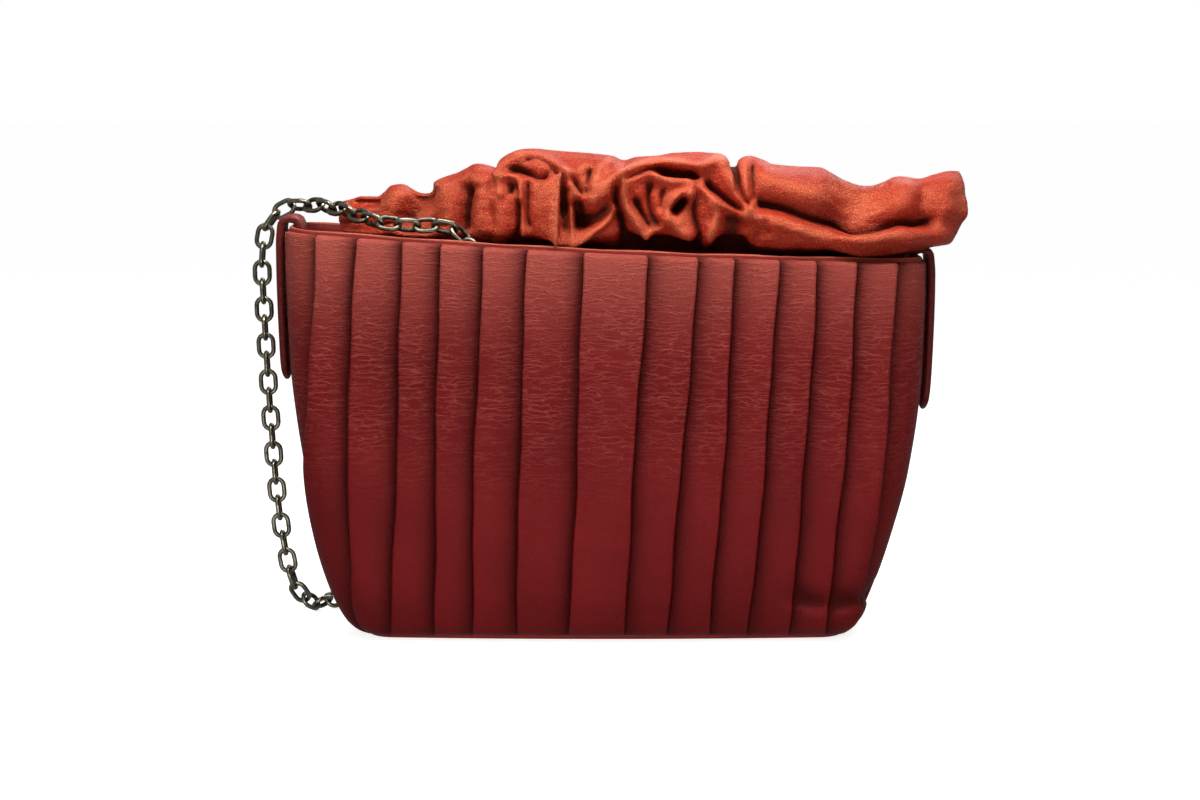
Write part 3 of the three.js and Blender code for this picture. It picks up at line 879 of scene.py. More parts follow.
@dataclass
class PleatedFront(Piece):
    """The front: one sheet of leather laid in pleats, with rounded edges that overlap."""

    form: BodyForm
    edges: PanelEdges = field(default_factory=PanelEdges)
    lift: float = 3.0
    tuck: float = -1.3
    nose: float = 1.0
    nose_angles: tuple[float, ...] = (-82.0, -55.0, -28.0, 0.0, 28.0, 55.0, 78.0)
    # painted shading round a fold's nose: painted shade under it, rising to a painted highlight over its
    # top
    nose_light: tuple[float, ...] = (0.0, 0.1, 0.26, 0.4, 0.5, 0.56, 0.58)
    overlap: float = 2.6
    face_columns: int = 13
    seam_columns: int = 16
    seam_width: float = 2.2
    top_corner: float = 1.5
    # a painted highlight along each folded edge, its strength and its width
    edge_light: float = 0.1
    edge_light_width: float = 1.5
    # painted shadow where a pleat slips under the next one and beside the outermost folds, and its width
    shadow: float = 0.48
    seam_shadows: tuple[float, float] = (0.46, 0.5)
    shadow_width: float = 6.6
    inside_rows: int = 24
    inside_columns: int = 50
    inside_depth: float = 3.6
    # the turned edge at the left seam: how far from the seam, height over the sheet, and painted shading
    turned_edge: tuple[Place, ...] = ((0.0, -1.8, 0.2), (0.5, -0.6, 0.4), (1.3, 0.0, 0.5))
    # the outermost folds' places as shares of the panel's length, as they run round the corners
    corner_up: tuple[float, ...] = (0.0, 0.1, 0.2, 0.3, 0.4, 0.5, 0.6, 0.8, 1.0)
    corner_folds: dict[int, tuple[float, ...]] = field(
        default_factory=lambda: {
            0: (0.95, 0.94, 0.925, 0.905, 0.875, 0.847, 0.83, 0.822, 0.826),
            1: (0.89, 0.833, 0.79, 0.763, 0.743, 0.73, 0.72, 0.711, 0.71),
            13: (0.89, 0.845, 0.816, 0.799, 0.787, 0.784, 0.786, 0.805, 0.836),
        }
    )

    def _nose(self, edge: float, faces: int, top: float, low: float) -> np.ndarray:
        """The line round one folded edge and back under it.

        Args:
            edge: the edge's place along the panel.
            faces: -1 if it faces left, 1 if right.
            top: its height over the panel.
            low: the height of the leather under it.

        Returns:
            Places along the panel, heights, and the painted shading of each place, a painted shade
            under the fold and a painted highlight over its nose, from left to right on the sheet.
        """
        radius = min(self.nose, (top - low) * 0.42)
        line = [
            (edge - faces * self.overlap, low, 0.0),
            (edge - faces * (self.overlap + 0.4), low + 0.25, 0.0),
            (edge - faces * self.overlap, low + 0.45, 0.0),
            (edge - faces * (self.overlap * 0.5), top - 2 * radius - 0.1, 0.0),
        ]
        for degrees, shade in zip(self.nose_angles, self.nose_light):
            angle = math.radians(degrees)
            out = radius - radius * math.cos(angle)
            rise = top - radius + radius * math.sin(angle)
            line.append((edge - faces * out, rise, shade))
        return np.array(line if faces < 0 else line[::-1])

    def _face(self, start: float, end: float, high: float, low: float, folded: int) -> np.ndarray:
        """A pleat's face between its edges.

        Args:
            start: its left end along the panel.
            end: its right end.
            high: the height at a folded edge.
            low: the height where it slips under the next pleat.
            folded: -1 if its left end is the folded edge, 1 if its right end is, 0 if both are.

        Returns:
            Places, heights, and the painted shading of each place: a painted highlight by a folded
            edge and a painted shadow where the face slips under the next pleat.
        """
        t = np.linspace(0.0, 1.0, self.face_columns)
        place = start + (end - start) * t
        if folded == 0:
            height = high + 0.5 * (1 - (2 * t - 1) ** 2)
            edge = np.minimum(place - start, end - place)
            # painted highlight by both folded edges of the box pleat
            shade = PLAIN + self.edge_light * np.exp(-edge / self.edge_light_width)
            return np.stack([place, height, shade], axis=-1)
        away = t if folded < 0 else 1 - t
        height = high - (high - low) * away**2.3 + 0.35 * np.sin(math.pi * away)
        width = abs(end - start)
        # painted highlight by the folded edge, painted shadow where the face slips under the next pleat
        lit = self.edge_light * np.exp(-away * width / self.edge_light_width)
        covered = np.maximum((1 - away) * width - self.overlap - 0.8, 0.0)
        painted_shade = self.shadow * np.exp(-covered / self.shadow_width)
        return np.stack([place, height, PLAIN + lit - painted_shade], axis=-1)

    def _strip(self, start: float, end: float, fold: float, tuck: float, dark: float) -> np.ndarray:
        """The flat leather between a seam and the outermost fold.

        Args:
            start: its left end along the panel.
            end: its right end.
            fold: the fold's place.
            tuck: the strip's height.
            dark: how dark the painted shadow is at the fold.

        Returns:
            Places, heights, and the painted shading of each place, a painted shadow fading away from the
            fold.
        """
        steps = np.linspace(start, end, self.seam_columns)
        shade = PLAIN - dark * np.exp(-np.abs(steps - fold) / self.shadow_width)
        return np.stack([steps, np.full_like(steps, tuck), shade], axis=-1)

    def _line(self, up: float) -> tuple[np.ndarray, np.ndarray]:
        """The sheet's line at one height, from the left seam to the right one.

        Args:
            up: the share of the height.

        Returns:
            Places along the panel with heights over it, and the painted shading of each place.
        """
        form = self.form
        scale = float(form.column("lift", up))
        z = up * form.height
        reach = float(form.reach(up))
        tuck = self.tuck * scale
        above = max(0.0, self.top_corner - (form.height - z)) / self.top_corner
        rounding = self.top_corner * (1 - math.sqrt(1 - min(above, 1.0) ** 2)) * 0.7
        edges = []
        tops = []
        for i, fold in enumerate(FOLDS):
            sway = 0.3 * math.sin(z / 15 + 1.7 * i) + 0.18 * math.sin(z / 6.4 + 2.9 * i)
            if i in self.corner_folds:
                share = float(eased(self.corner_up, self.corner_folds[i], up))
                place = fold.faces * share * reach
            else:
                place = form.along(fold.share(up) * form.half_width, up)
            edges.append(place + sway - fold.faces * rounding)
            soft = 0.25 * math.sin(z / 21 + 2.3 * i) + 0.15 * math.sin(z / 9 + 1.1 * i)
            tops.append((self.lift + soft) * scale)
        seam = np.array(self.turned_edge) + (-reach, tuck, 0.0)
        left, right = edges[0], edges[-1]
        inner = reach - self.seam_width
        strip = self._strip(-inner, left + self.overlap, left, tuck, self.seam_shadows[0])
        parts = [seam, strip[:-1]]
        last = len(FOLDS) - 1
        for i, fold in enumerate(FOLDS):
            parts.append(self._nose(edges[i], fold.faces, tops[i], tuck))
            if i == last:
                break
            onward = FOLDS[i + 1].faces
            start = edges[i] + (self.nose if fold.faces < 0 else -self.overlap)
            end = edges[i + 1] + (self.overlap if onward < 0 else -self.nose)
            if fold.faces < 0 < onward:
                face = self._face(start, end, max(tops[i], tops[i + 1]), tuck, 0)
            elif fold.faces < 0:
                face = self._face(start, end, tops[i], tuck, -1)
            else:
                face = self._face(start, end, tops[i + 1], tuck, 1)
            parts.append(face[1:-1])
        strip = self._strip(right - self.overlap, inner, right, tuck, self.seam_shadows[1])
        parts += [strip[1:], seam[::-1] * (-1.0, 1.0, 1.0)]
        line = np.concatenate(parts)
        return line[:, :2], line[:, 2]

    def _corner_dent(self, x: np.ndarray, z: np.ndarray) -> np.ndarray:
        """The crease across the right-hand pleats over the lower corner, and the bulge under it."""
        across = smoothstep(64.0, 78.0, x)
        slant = z + 0.06 * (x - 80.0) - 0.8 * np.sin(x / 5.0)
        above = np.exp(-(((slant - 17.0) / 5.0) ** 2)) * smoothstep(12.5, 16.5, slant)
        below = np.exp(-(((slant - 9.0) / 5.5) ** 2)) * (1 - smoothstep(12.5, 16.5, slant))
        return across * (1.1 * below - 1.7 * above)

    def skin(self) -> Skin:
        """Shapes the front.

        Returns:
            Its surface.
        """
        form = self.form
        grid = []
        painted_shading = []
        for up, inset, gather in zip(*self.edges.rows_up(form.height)):
            line, line_shading = self._line(float(up))
            height = line[:, 1] * (1 - gather) - form.wall * gather - inset
            undented = form.panel(up, line[:, 0], height, Side.FRONT)
            dent = self._corner_dent(undented[:, 0], undented[:, 2])
            grid.append(form.panel(up, line[:, 0], height + dent, Side.FRONT))
            # painted shade in the crease of the corner dent
            painted_shading.append(line_shading + np.minimum(dent, 0.0) * 0.2)
        ups = np.linspace(*INSIDE_UP, self.inside_rows)
        shares = np.linspace(-INSIDE_REACH, INSIDE_REACH, self.inside_columns)
        up_grid, share_grid = np.meshgrid(ups, shares, indexing="ij")
        inside = form.panel(up_grid, share_grid * form.reach(up_grid), -self.inside_depth, Side.FRONT)
        return two_sheets(np.array(grid), inside, np.array(painted_shading), Side.FRONT)


@dataclass
class PlainBack(Piece):
    """The back: one smooth sheet of leather."""

    form: BodyForm
    edges: PanelEdges = field(default_factory=lambda: PanelEdges(rows=80))
    columns: int = 150
    softness: float = 0.35
    soft_seed: int = 11
    soft_wave: float = 55.0
    turned_edge: float = 1.8
    turned_share: float = 0.015
    inside_depth: float = 3.4

    def skin(self) -> Skin:
        """Shapes the back.

        Returns:
            Its surface.
        """
        form = self.form
        ups, insets, drawn = self.edges.rows_up(form.height)
        shares = np.linspace(-1.0, 1.0, self.columns)
        up_grid, share_grid = np.meshgrid(ups, shares, indexing="ij")
        length = share_grid * form.reach(up_grid)
        soft = ripple(length, up_grid * form.height, self.soft_seed, self.soft_wave) * self.softness
        edge = (np.abs(share_grid) - 1 + self.turned_share).clip(0.0) / self.turned_share
        offset = soft * (1 - drawn[:, None]) - insets[:, None] - self.turned_edge * edge**2
        outside = form.panel(up_grid, length, offset, Side.BACK)
        inside_up = np.clip(up_grid, *INSIDE_UP)
        inside_length = share_grid * INSIDE_REACH * form.reach(inside_up)
        inside = form.panel(inside_up, inside_length, -self.inside_depth, Side.BACK)
        return two_sheets(outside, inside, np.full(up_grid.shape, PLAIN), Side.BACK)


@dataclass
class SideGusset(Piece):
    """A narrow side strip, pinched inwards between the panels. Its side is -1 left and 1 right."""

    form: BodyForm
    side: int
    pinch: float = 4.0
    lean: float = 0.7
    edge_thinning: float = 0.5
    # a slight painted shade over the whole strip, which is pinched in between the panels
    painted_shading: float = 0.45
    rows: int = 60
    columns: int = 26

    def skin(self) -> Skin:
        """Shapes the gusset.

        Returns:
            Its surface.
        """
        form = self.form
        half = form.gusset_half_width - form.gap / 2
        across = np.linspace(-1.0, 1.0, self.columns)
        thinning = self.edge_thinning * np.abs(across) ** 8
        sections = []
        for up in np.linspace(0.004, 0.994, self.rows):
            half_width = form.half_width * float(form.column("width", up))
            fold = self.pinch * float(form.column("pinch", up))
            outer = half_width - fold * np.cos(across * math.pi / 2) ** 1.3 - thinning
            inner = outer - form.wall + thinning
            low = form.hem(half_width)
            z = low + up * (form.rim(self.side * half_width) - low)
            y = across * half + self.lean * math.sin(up * 9.0) * (1 - across**2)
            ring_x = np.concatenate([outer, inner[::-1]])
            ring_y = np.concatenate([y, y[::-1]])
            sections.append(np.stack([self.side * ring_x, ring_y, np.full_like(ring_x, z)], axis=-1))
        skin = lofted(np.array(sections))
        skin.attributes["painted_shading"] = np.full(len(skin.points), self.painted_shading)
        return skin


@dataclass
class BasePlate(Piece):
    """The stiff base, with rounded edges."""

    form: BodyForm
    thickness: float = 3.0
    rounding: float = 0.9
    columns: int = 90
    rows: int = 9

    def skin(self) -> Skin:
        """Shapes the base.

        Returns:
            Its surface.
        """
        form = self.form
        lengths = np.linspace(-1.0, 1.0, self.columns) * form.reach(0.0)
        middle = self.thickness / 2
        sections = []
        for angle in np.linspace(-math.pi / 2, math.pi / 2, self.rows):
            inset = form.wall + form.gap + self.rounding * (1 - math.cos(angle))
            front = form.panel(0.0, lengths, -inset, Side.FRONT)
            back = form.panel(0.0, lengths[::-1], -inset, Side.BACK)
            outline = np.concatenate([front, back])
            core = math.copysign(middle - self.rounding, angle)
            rise = middle + core + self.rounding * math.sin(angle)
            outline[:, 2] = middle if abs(angle) < 1e-6 else rise
            sections.append(outline)
        skin = lofted(np.array(sections))
        skin.attributes["painted_shading"] = np.full(len(skin.points), PLAIN)
        return skin


def rounded_rectangle(half_width: float, half_height: float, radius: float, steps: int) -> np.ndarray:
    """A closed outline with round corners.

    Args:
        half_width: half its width.
        half_height: half its height.
        radius: of the corners.
        steps: points for each corner.

    Returns:
        Its points as pairs.
    """
    outline = []
    corners = ((1, 1, 0.0), (-1, 1, 0.5), (-1, -1, 1.0), (1, -1, 1.5))
    for right, up, start in corners:
        for angle in np.linspace(start, start + 0.5, steps) * math.pi:
            across = right * (half_width - radius) + radius * math.cos(angle)
            rise = up * (half_height - radius) + radius * math.sin(angle)
            outline.append((across, rise))
    return np.array(outline)


@dataclass
class RimBinding(Piece):
    """The narrow binding round the inside of the rim."""

    form: BodyForm
    wall: float = 1.6
    depth: float = 6.0
    reveal: float = 1.6
    rounding: float = 0.75
    unevenness: float = 0.18
    stations: int = 170

    def skin(self) -> Skin:
        """Shapes the binding.

        Returns:
            Its surface.
        """
        form = self.form
        shares = np.linspace(-1.0, 1.0, self.stations)
        reach = float(form.reach(1.0))
        middle = form.wall + form.gap + self.wall / 2
        half_height = (self.depth + self.reveal) / 2
        outline = rounded_rectangle(self.wall / 2, half_height, self.rounding, 5)
        lift = (self.reveal - self.depth) / 2
        sections = []
        for side in (Side.FRONT, Side.BACK):
            for share in shares if side is Side.FRONT else shares[::-1]:
                wave = self.unevenness * math.sin(share * 23.0 + side.value)
                section = []
                for out, up in outline:
                    point = form.panel(1.0, share * reach, -middle + out, side)
                    point[2] += lift + up + (wave if up > 0 else 0.0)
                    section.append(point)
                sections.append(section)
        skin = lofted(np.array(sections), filled_ends=False)
        rise = skin.points[:, 2] - form.rim(skin.points[:, 0])
        # painted shade low on the binding and a painted highlight along its top edge
        skin.attributes["painted_shading"] = 0.3 + 0.6 * smoothstep(0.7, 1.4, rise)
        return skin


@dataclass
class SideTab(Piece):
    """A tab folded over the rim at one end of the body. Its side is -1 left and 1 right."""

    form: BodyForm
    side: int
    half_width: float = 10.0
    thickness: float = 2.6
    rounding: float = 0.9
    outer_length: float = 60.0
    inner_length: float = 20.0
    rest: float = 0.8
    binding: float = 1.6
    reveal: float = 2.2
    fold_height: float = 3.0
    dome: float = 0.25
    tip: float = 9.0
    tip_stations: int = 14
    stations: int = 70
    path_steps: int = 12

    def _path(self) -> np.ndarray:
        """The tab's middle line from its tip outside to its end inside, as pairs of x and z."""
        form = self.form
        half = self.thickness / 2
        stack = form.wall + form.gap + self.binding
        outer = form.half_width + form.gap + half
        inner = form.half_width - stack - form.gap - half
        rims = [form.rim(self.side * x) for x in (form.half_width, form.half_width - stack)]
        rim = float(max(rims))
        top = rim + self.reveal + form.gap + half
        line = []
        for down in np.linspace(1.0, 0.1, self.path_steps):
            z = rim - self.outer_length * down
            x = form.half_width * float(form.column("width", z / rim)) + self.rest + half
            line.append((x, z))
        middle = (outer + inner) / 2
        reach = (outer - inner) / 2
        for angle in np.linspace(0.0, math.pi, self.path_steps):
            corner = max(abs(math.cos(angle)), abs(math.sin(angle))) ** 0.25
            x = middle + reach * math.cos(angle) / corner
            line.append((x, top + self.fold_height * (math.sin(angle) / corner - 1)))
        line.append((inner, rim - self.inner_length))
        return np.array(line)

    def skin(self) -> Skin:
        """Shapes the tab.

        Returns:
            Its surface.
        """
        path = self._path()
        steps = np.concatenate([[0.0], np.cumsum(np.linalg.norm(np.diff(path, axis=0), axis=1))])
        tip = np.linspace(0.0, self.tip, self.tip_stations) ** 2 / self.tip
        fine = np.concatenate([tip, np.linspace(self.tip, steps[-1], self.stations)[1:]])
        centre = np.stack([eased(steps, path[:, 0], fine), eased(steps, path[:, 1], fine)], axis=-1)
        along = np.gradient(centre, axis=0)
        along /= np.linalg.norm(along, axis=1)[:, None]
        out = np.stack([along[:, 1], -along[:, 0]], axis=-1)
        outline = rounded_rectangle(self.half_width, self.thickness / 2, self.rounding, 5)
        near = np.clip(fine / self.tip, 0.02, 1.0)
        narrow = np.sqrt(1 - (1 - near) ** 2.2)
        thin = 0.35 + 0.65 * np.sqrt(np.clip(fine / 4.0, 0.0, 1.0))
        share = np.abs(outline[:, 0]) / self.half_width
        dome = self.dome * (1 - share**2) * (outline[:, 1] > 0)
        sections = []
        for i in range(len(fine)):
            rise = outline[:, 1] * thin[i] + dome
            x = centre[i, 0] + out[i, 0] * rise
            z = centre[i, 1] + out[i, 1] * rise
            sections.append(np.stack([self.side * x, outline[:, 0] * narrow[i], z], axis=-1))
        skin = lofted(np.array(sections))
        edge = np.tile(share, len(fine))
        # painted shade along the tab's edges
        skin.attributes["painted_shading"] = 0.55 - 0.45 * smoothstep(0.86, 1.0, edge)
        return skin


# The collar


@dataclass(frozen=True)
class PhotoView:
    """How places on the bag show in the photograph, in its pixels."""

    scale: float = 2.577
    middle: float = 610.0
    middle_x: float = 1.6
    table: float = 646.0
    plane: float = -28.0
    distance: float = 1090.0
    eye: float = 239.0

    def pixel(self, points: Points) -> tuple[np.ndarray, np.ndarray]:
        """Where points show.

        Args:
            points: places in millimetres.

        Returns:
            Their pixels across and down.
        """
        shrink = (points[..., 1] - self.plane) / self.distance
        x = points[..., 0] / (1 + shrink)
        z = points[..., 2] * (1 - shrink) + self.eye * shrink
        return (x - self.middle_x) * self.scale + self.middle, self.table - z * self.scale


class StrokeKind(Enum):
    """What a stroke does to the leather along its line."""

    SWELL = "swell"
    CREASE = "crease"
    LAP = "lap"


@dataclass(frozen=True)
class Stroke:
    """A fold of the collar: a soft swelling or hollow, a sharp crease, or the edge of an overlap.

    An overlap's raised side is on the left of the line as it runs. Places and widths are in the
    photograph's pixels and heights in millimetres.
    """

    kind: StrokeKind
    height: float
    width: float
    line: tuple[Pixel, ...]

    def nodes(self) -> np.ndarray:
        """The line with its corners cut round."""
        nodes = np.array(self.line, dtype=float)
        for _ in range(2):
            near = nodes[:-1] * 0.75 + nodes[1:] * 0.25
            far = nodes[:-1] * 0.25 + nodes[1:] * 0.75
            cut = np.stack([near, far], axis=1).reshape(-1, 2)
            nodes = np.concatenate([nodes[:1], cut, nodes[-1:]])
        return nodes

    def shape(self, x: np.ndarray, y: np.ndarray) -> np.ndarray:
        """The height that the stroke adds.

        Args:
            x: pixels across.
            y: pixels down.

        Returns:
            Heights in millimetres.
        """
        nodes = self.nodes()
        lengths = np.linalg.norm(np.diff(nodes, axis=0), axis=1)
        total = lengths.sum()
        best = np.full(x.shape, np.inf)
        signed = np.zeros(x.shape)
        place = np.zeros(x.shape)
        run = 0.0
        for start, end, length in zip(nodes[:-1], nodes[1:], lengths):
            step = (end - start) / length
            t = np.clip((x - start[0]) * step[0] + (y - start[1]) * step[1], 0.0, length)
            dx = x - start[0] - step[0] * t
            dy = y - start[1] - step[1] * t
            away = np.hypot(dx, dy)
            nearer = away < best
            side = np.where(step[0] * dy - step[1] * dx < 0, 1.0, -1.0)
            best = np.where(nearer, away, best)
            signed = np.where(nearer, side * away, signed)
            place = np.where(nearer, run + t, place)
            run += length
        if self.kind is StrokeKind.SWELL:
            return self.height * np.exp(-((best / (1.35 * self.width)) ** 2))
        fade = min(8.0, total / 3)
        ends = smoothstep(-1.0, fade, place) * smoothstep(-1.0, fade, total - place)
        if self.kind is StrokeKind.CREASE:
            rounded = np.sqrt(best**2 + 0.3) - math.sqrt(0.3)
            return -self.height * (0.12 + 0.88 * ends) * np.exp(-rounded / self.width)
        rise = smoothstep(-1.0, 1.0, signed)
        return self.height * ends * rise * np.exp(-np.maximum(signed, 0.0) / self.width)


def swell(height: float, width: float, *line: Pixel) -> Stroke:
    """A soft swelling, or with a height below 0 a hollow."""
    return Stroke(StrokeKind.SWELL, height, width, line)


def crease(depth: float, width: float, *line: Pixel) -> Stroke:
    """A sharp crease between two soft sides."""
    return Stroke(StrokeKind.CREASE, depth, width, line)


def lap(height: float, width: float, *line: Pixel) -> Stroke:
    """An overlap, raised on the left of its line."""
    return Stroke(StrokeKind.LAP, height, width, line)


FRONT_STROKES = (
    # left end
    swell(-3.0, 3.0, (357, 201), (378, 202)),
    swell(3.5, 9.0, (404, 186), (399, 203), (392, 219)),
    swell(-4.5, 9.0, (428, 192), (421, 205), (412, 218)),
    swell(3.0, 10.0, (446, 182), (450, 205), (452, 225)),
    crease(7.0, 6.5, (471, 182), (468, 198), (465, 214), (466, 234)),
    swell(3.0, 9.0, (483, 168), (482, 195), (481, 228)),
    crease(1.6, 3.0, (491, 180), (490, 200), (493, 222)),
    swell(2.5, 6.0, (500, 200), (503, 222), (500, 236)),
    # first arch
    swell(4.5, 5.0, (502, 173), (507, 161), (521, 153), (539, 156), (551, 163), (560, 170), (570, 175)),
    crease(4.5, 3.2, (522, 161), (535, 158), (546, 162), (555, 170), (563, 179)),
    crease(5.0, 3.2, (504, 171), (518, 169), (530, 173), (542, 179), (552, 173)),
    swell(3.0, 3.0, (504, 193), (503, 182), (511, 175), (519, 181), (520, 198)),
    crease(3.0, 2.4, (510, 196), (511, 187), (513, 182)),
    crease(5.5, 2.6, (517, 178), (519, 200), (518, 240)),
    swell(2.0, 3.0, (523, 184), (523, 232)),
    crease(4.5, 2.6, (528, 178), (527, 205), (527, 221), (533, 231)),
    lap(6.5, 18.0, (558, 240), (560, 194), (562, 173)),
    # hollows beside the flat fold
    swell(3.5, 3.0, (564, 174), (571, 184), (578, 196)),
    swell(-3.0, 3.5, (564, 192), (565, 212)),
    swell(-3.5, 3.5, (565, 206), (567, 232)),
    swell(3.0, 3.0, (570, 188), (573, 234)),
    swell(-5.5, 3.4, (577, 204), (579, 230)),
    swell(-3.0, 6.0, (582, 208), (584, 226)),
    # meeting folds
    crease(4.5, 3.2, (570, 177), (578, 188), (585, 199)),
    crease(5.0, 3.0, (592, 166), (588, 182), (586, 198)),
    swell(3.5, 4.5, (607, 162), (597, 172), (591, 186)),
    swell(5.0, 10.0, (618, 180), (606, 188), (594, 199)),
    swell(-5.5, 7.0, (607, 212), (596, 219), (586, 222)),
    swell(4.5, 3.6, (615, 208), (606, 221), (592, 231), (577, 239), (560, 237)),
    crease(8.0, 3.4, (617, 184), (616, 199), (621, 216), (625, 248)),
    # hook and finger
    swell(5.0, 4.2, (622, 196), (626, 208), (636, 220), (646, 235)),
    crease(6.0, 3.6, (633, 196), (641, 214), (651, 232)),
    swell(4.5, 4.5, (624, 188), (633, 178), (648, 172), (657, 177)),
    crease(5.0, 3.2, (653, 179), (648, 188), (648, 204), (652, 219), (661, 229)),
    # second arch
    swell(5.5, 4.6, (620, 178), (633, 168), (651, 161), (676, 164), (694, 169), (704, 166), (714, 159)),
    crease(7.0, 3.4, (620, 184), (634, 176), (649, 168), (662, 170), (676, 173), (690, 172), (700, 178)),
    swell(-5.0, 4.0, (662, 171), (690, 174)),
    swell(3.5, 5.0, (668, 180), (684, 178), (692, 185), (690, 197)),
    crease(3.5, 2.8, (664, 184), (661, 198), (660, 213)),
    swell(-8.0, 3.4, (674, 210), (683, 200)),
    swell(3.5, 3.2, (667, 218), (670, 204), (680, 194), (691, 195)),
    swell(3.5, 6.0, (673, 222), (680, 232), (690, 238)),
    crease(5.0, 4.0, (697, 182), (695, 196), (692, 212), (697, 230), (700, 247)),
    # pointed flap and the ridge under it
    swell(5.0, 5.5, (718, 162), (727, 180), (737, 195), (747, 206)),
    crease(6.0, 3.2, (703, 179), (716, 192), (730, 204), (744, 212)),
    swell(3.5, 3.6, (700, 189), (713, 199), (728, 208), (744, 216)),
    swell(4.0, 5.0, (713, 205), (717, 216), (711, 232), (706, 245)),
    swell(-5.0, 8.0, (732, 224), (730, 242)),
    swell(-3.5, 7.0, (632, 243), (660, 243), (690, 247), (740, 247)),
    # narrow peak
    crease(7.0, 3.2, (730, 162), (734, 180), (740, 195), (751, 208)),
    swell(3.0, 4.5, (745, 158), (744, 178), (748, 196)),
    crease(5.5, 3.2, (751, 160), (751, 182), (752, 204)),
    # long folds of the right end
    crease(7.5, 7.0, (752, 203), (775, 206), (793, 213), (813, 221), (839, 228), (869, 226), (889, 222),
           (902, 220), (914, 223), (928, 222), (936, 224)),
    swell(3.5, 8.0, (757, 217), (786, 223), (820, 234), (853, 238), (886, 236), (919, 233), (944, 237)),
    swell(3.0, 7.0, (946, 236), (958, 222), (965, 206)),
    swell(4.0, 16.0, (768, 178), (786, 184), (806, 194)),
    swell(-5.5, 15.0, (864, 186), (854, 204), (838, 222)),
    swell(3.5, 12.0, (902, 184), (898, 208)),
    swell(-1.6, 6.0, (919, 184), (921, 212)),
    swell(2.5, 10.0, (944, 186), (942, 208)),
    crease(2.0, 3.0, (752, 218), (756, 232), (752, 246)),
    crease(1.6, 3.0, (764, 216), (766, 236)),
)

BACK_STROKES = (
    swell(3.5, 8.0, (372, 190), (366, 225)),
    swell(-4.5, 6.0, (392, 190), (388, 236)),
    swell(4.0, 9.0, (412, 184), (418, 236)),
    swell(-5.0, 5.0, (436, 184), (440, 232)),
    swell(3.5, 9.0, (458, 172), (452, 236)),
    swell(-5.5, 6.0, (484, 168), (476, 236)),
    swell(4.5, 10.0, (505, 160), (512, 236)),
    swell(-5.0, 4.0, (532, 156), (530, 236)),
    swell(-4.0, 4.0, (532, 176), (556, 190), (584, 186)),
    swell(4.0, 10.0, (556, 160), (560, 210)),
    swell(-6.0, 6.0, (590, 166), (584, 236)),
    swell(4.5, 9.0, (612, 160), (606, 236)),
    swell(-5.0, 5.0, (634, 166), (640, 236)),
    swell(4.0, 12.0, (664, 158), (668, 232)),
    swell(-5.5, 4.0, (640, 200), (668, 208), (700, 200)),
    swell(-6.0, 6.0, (700, 164), (696, 238)),
    swell(4.5, 10.0, (724, 170), (720, 236)),
    swell(-5.0, 5.0, (750, 166), (756, 236)),
    lap(4.0, 16.0, (940, 212), (900, 218), (850, 212), (800, 214), (760, 206)),
    swell(3.5, 12.0, (790, 172), (786, 236)),
    swell(-4.0, 9.0, (826, 178), (830, 210)),
    swell(3.0, 12.0, (864, 186), (862, 236)),
    swell(-3.5, 8.0, (900, 184), (906, 236)),
    swell(3.0, 10.0, (932, 180), (930, 236)),
)

# Collar crest against x, both in the photograph's pixels
CREST = (
    (340, 203), (350, 200), (364, 196), (380, 196), (388, 191), (396, 185), (404, 184), (414, 188),
    (428, 192), (436, 182), (444, 178), (460, 172), (468, 168), (480, 163), (492, 165), (501, 168),
    (508, 157), (516, 152), (524, 149), (536, 148), (560, 150), (588, 152), (612, 155), (624, 159),
    (636, 156), (655, 155), (672, 152), (694, 151), (714, 153), (722, 158), (731, 165), (738, 158),
    (747, 155), (757, 158), (768, 163), (790, 165), (815, 166), (826, 171), (840, 178), (862, 183),
    (876, 180), (892, 175), (912, 177), (928, 173), (944, 170), (956, 171), (962, 180),
)


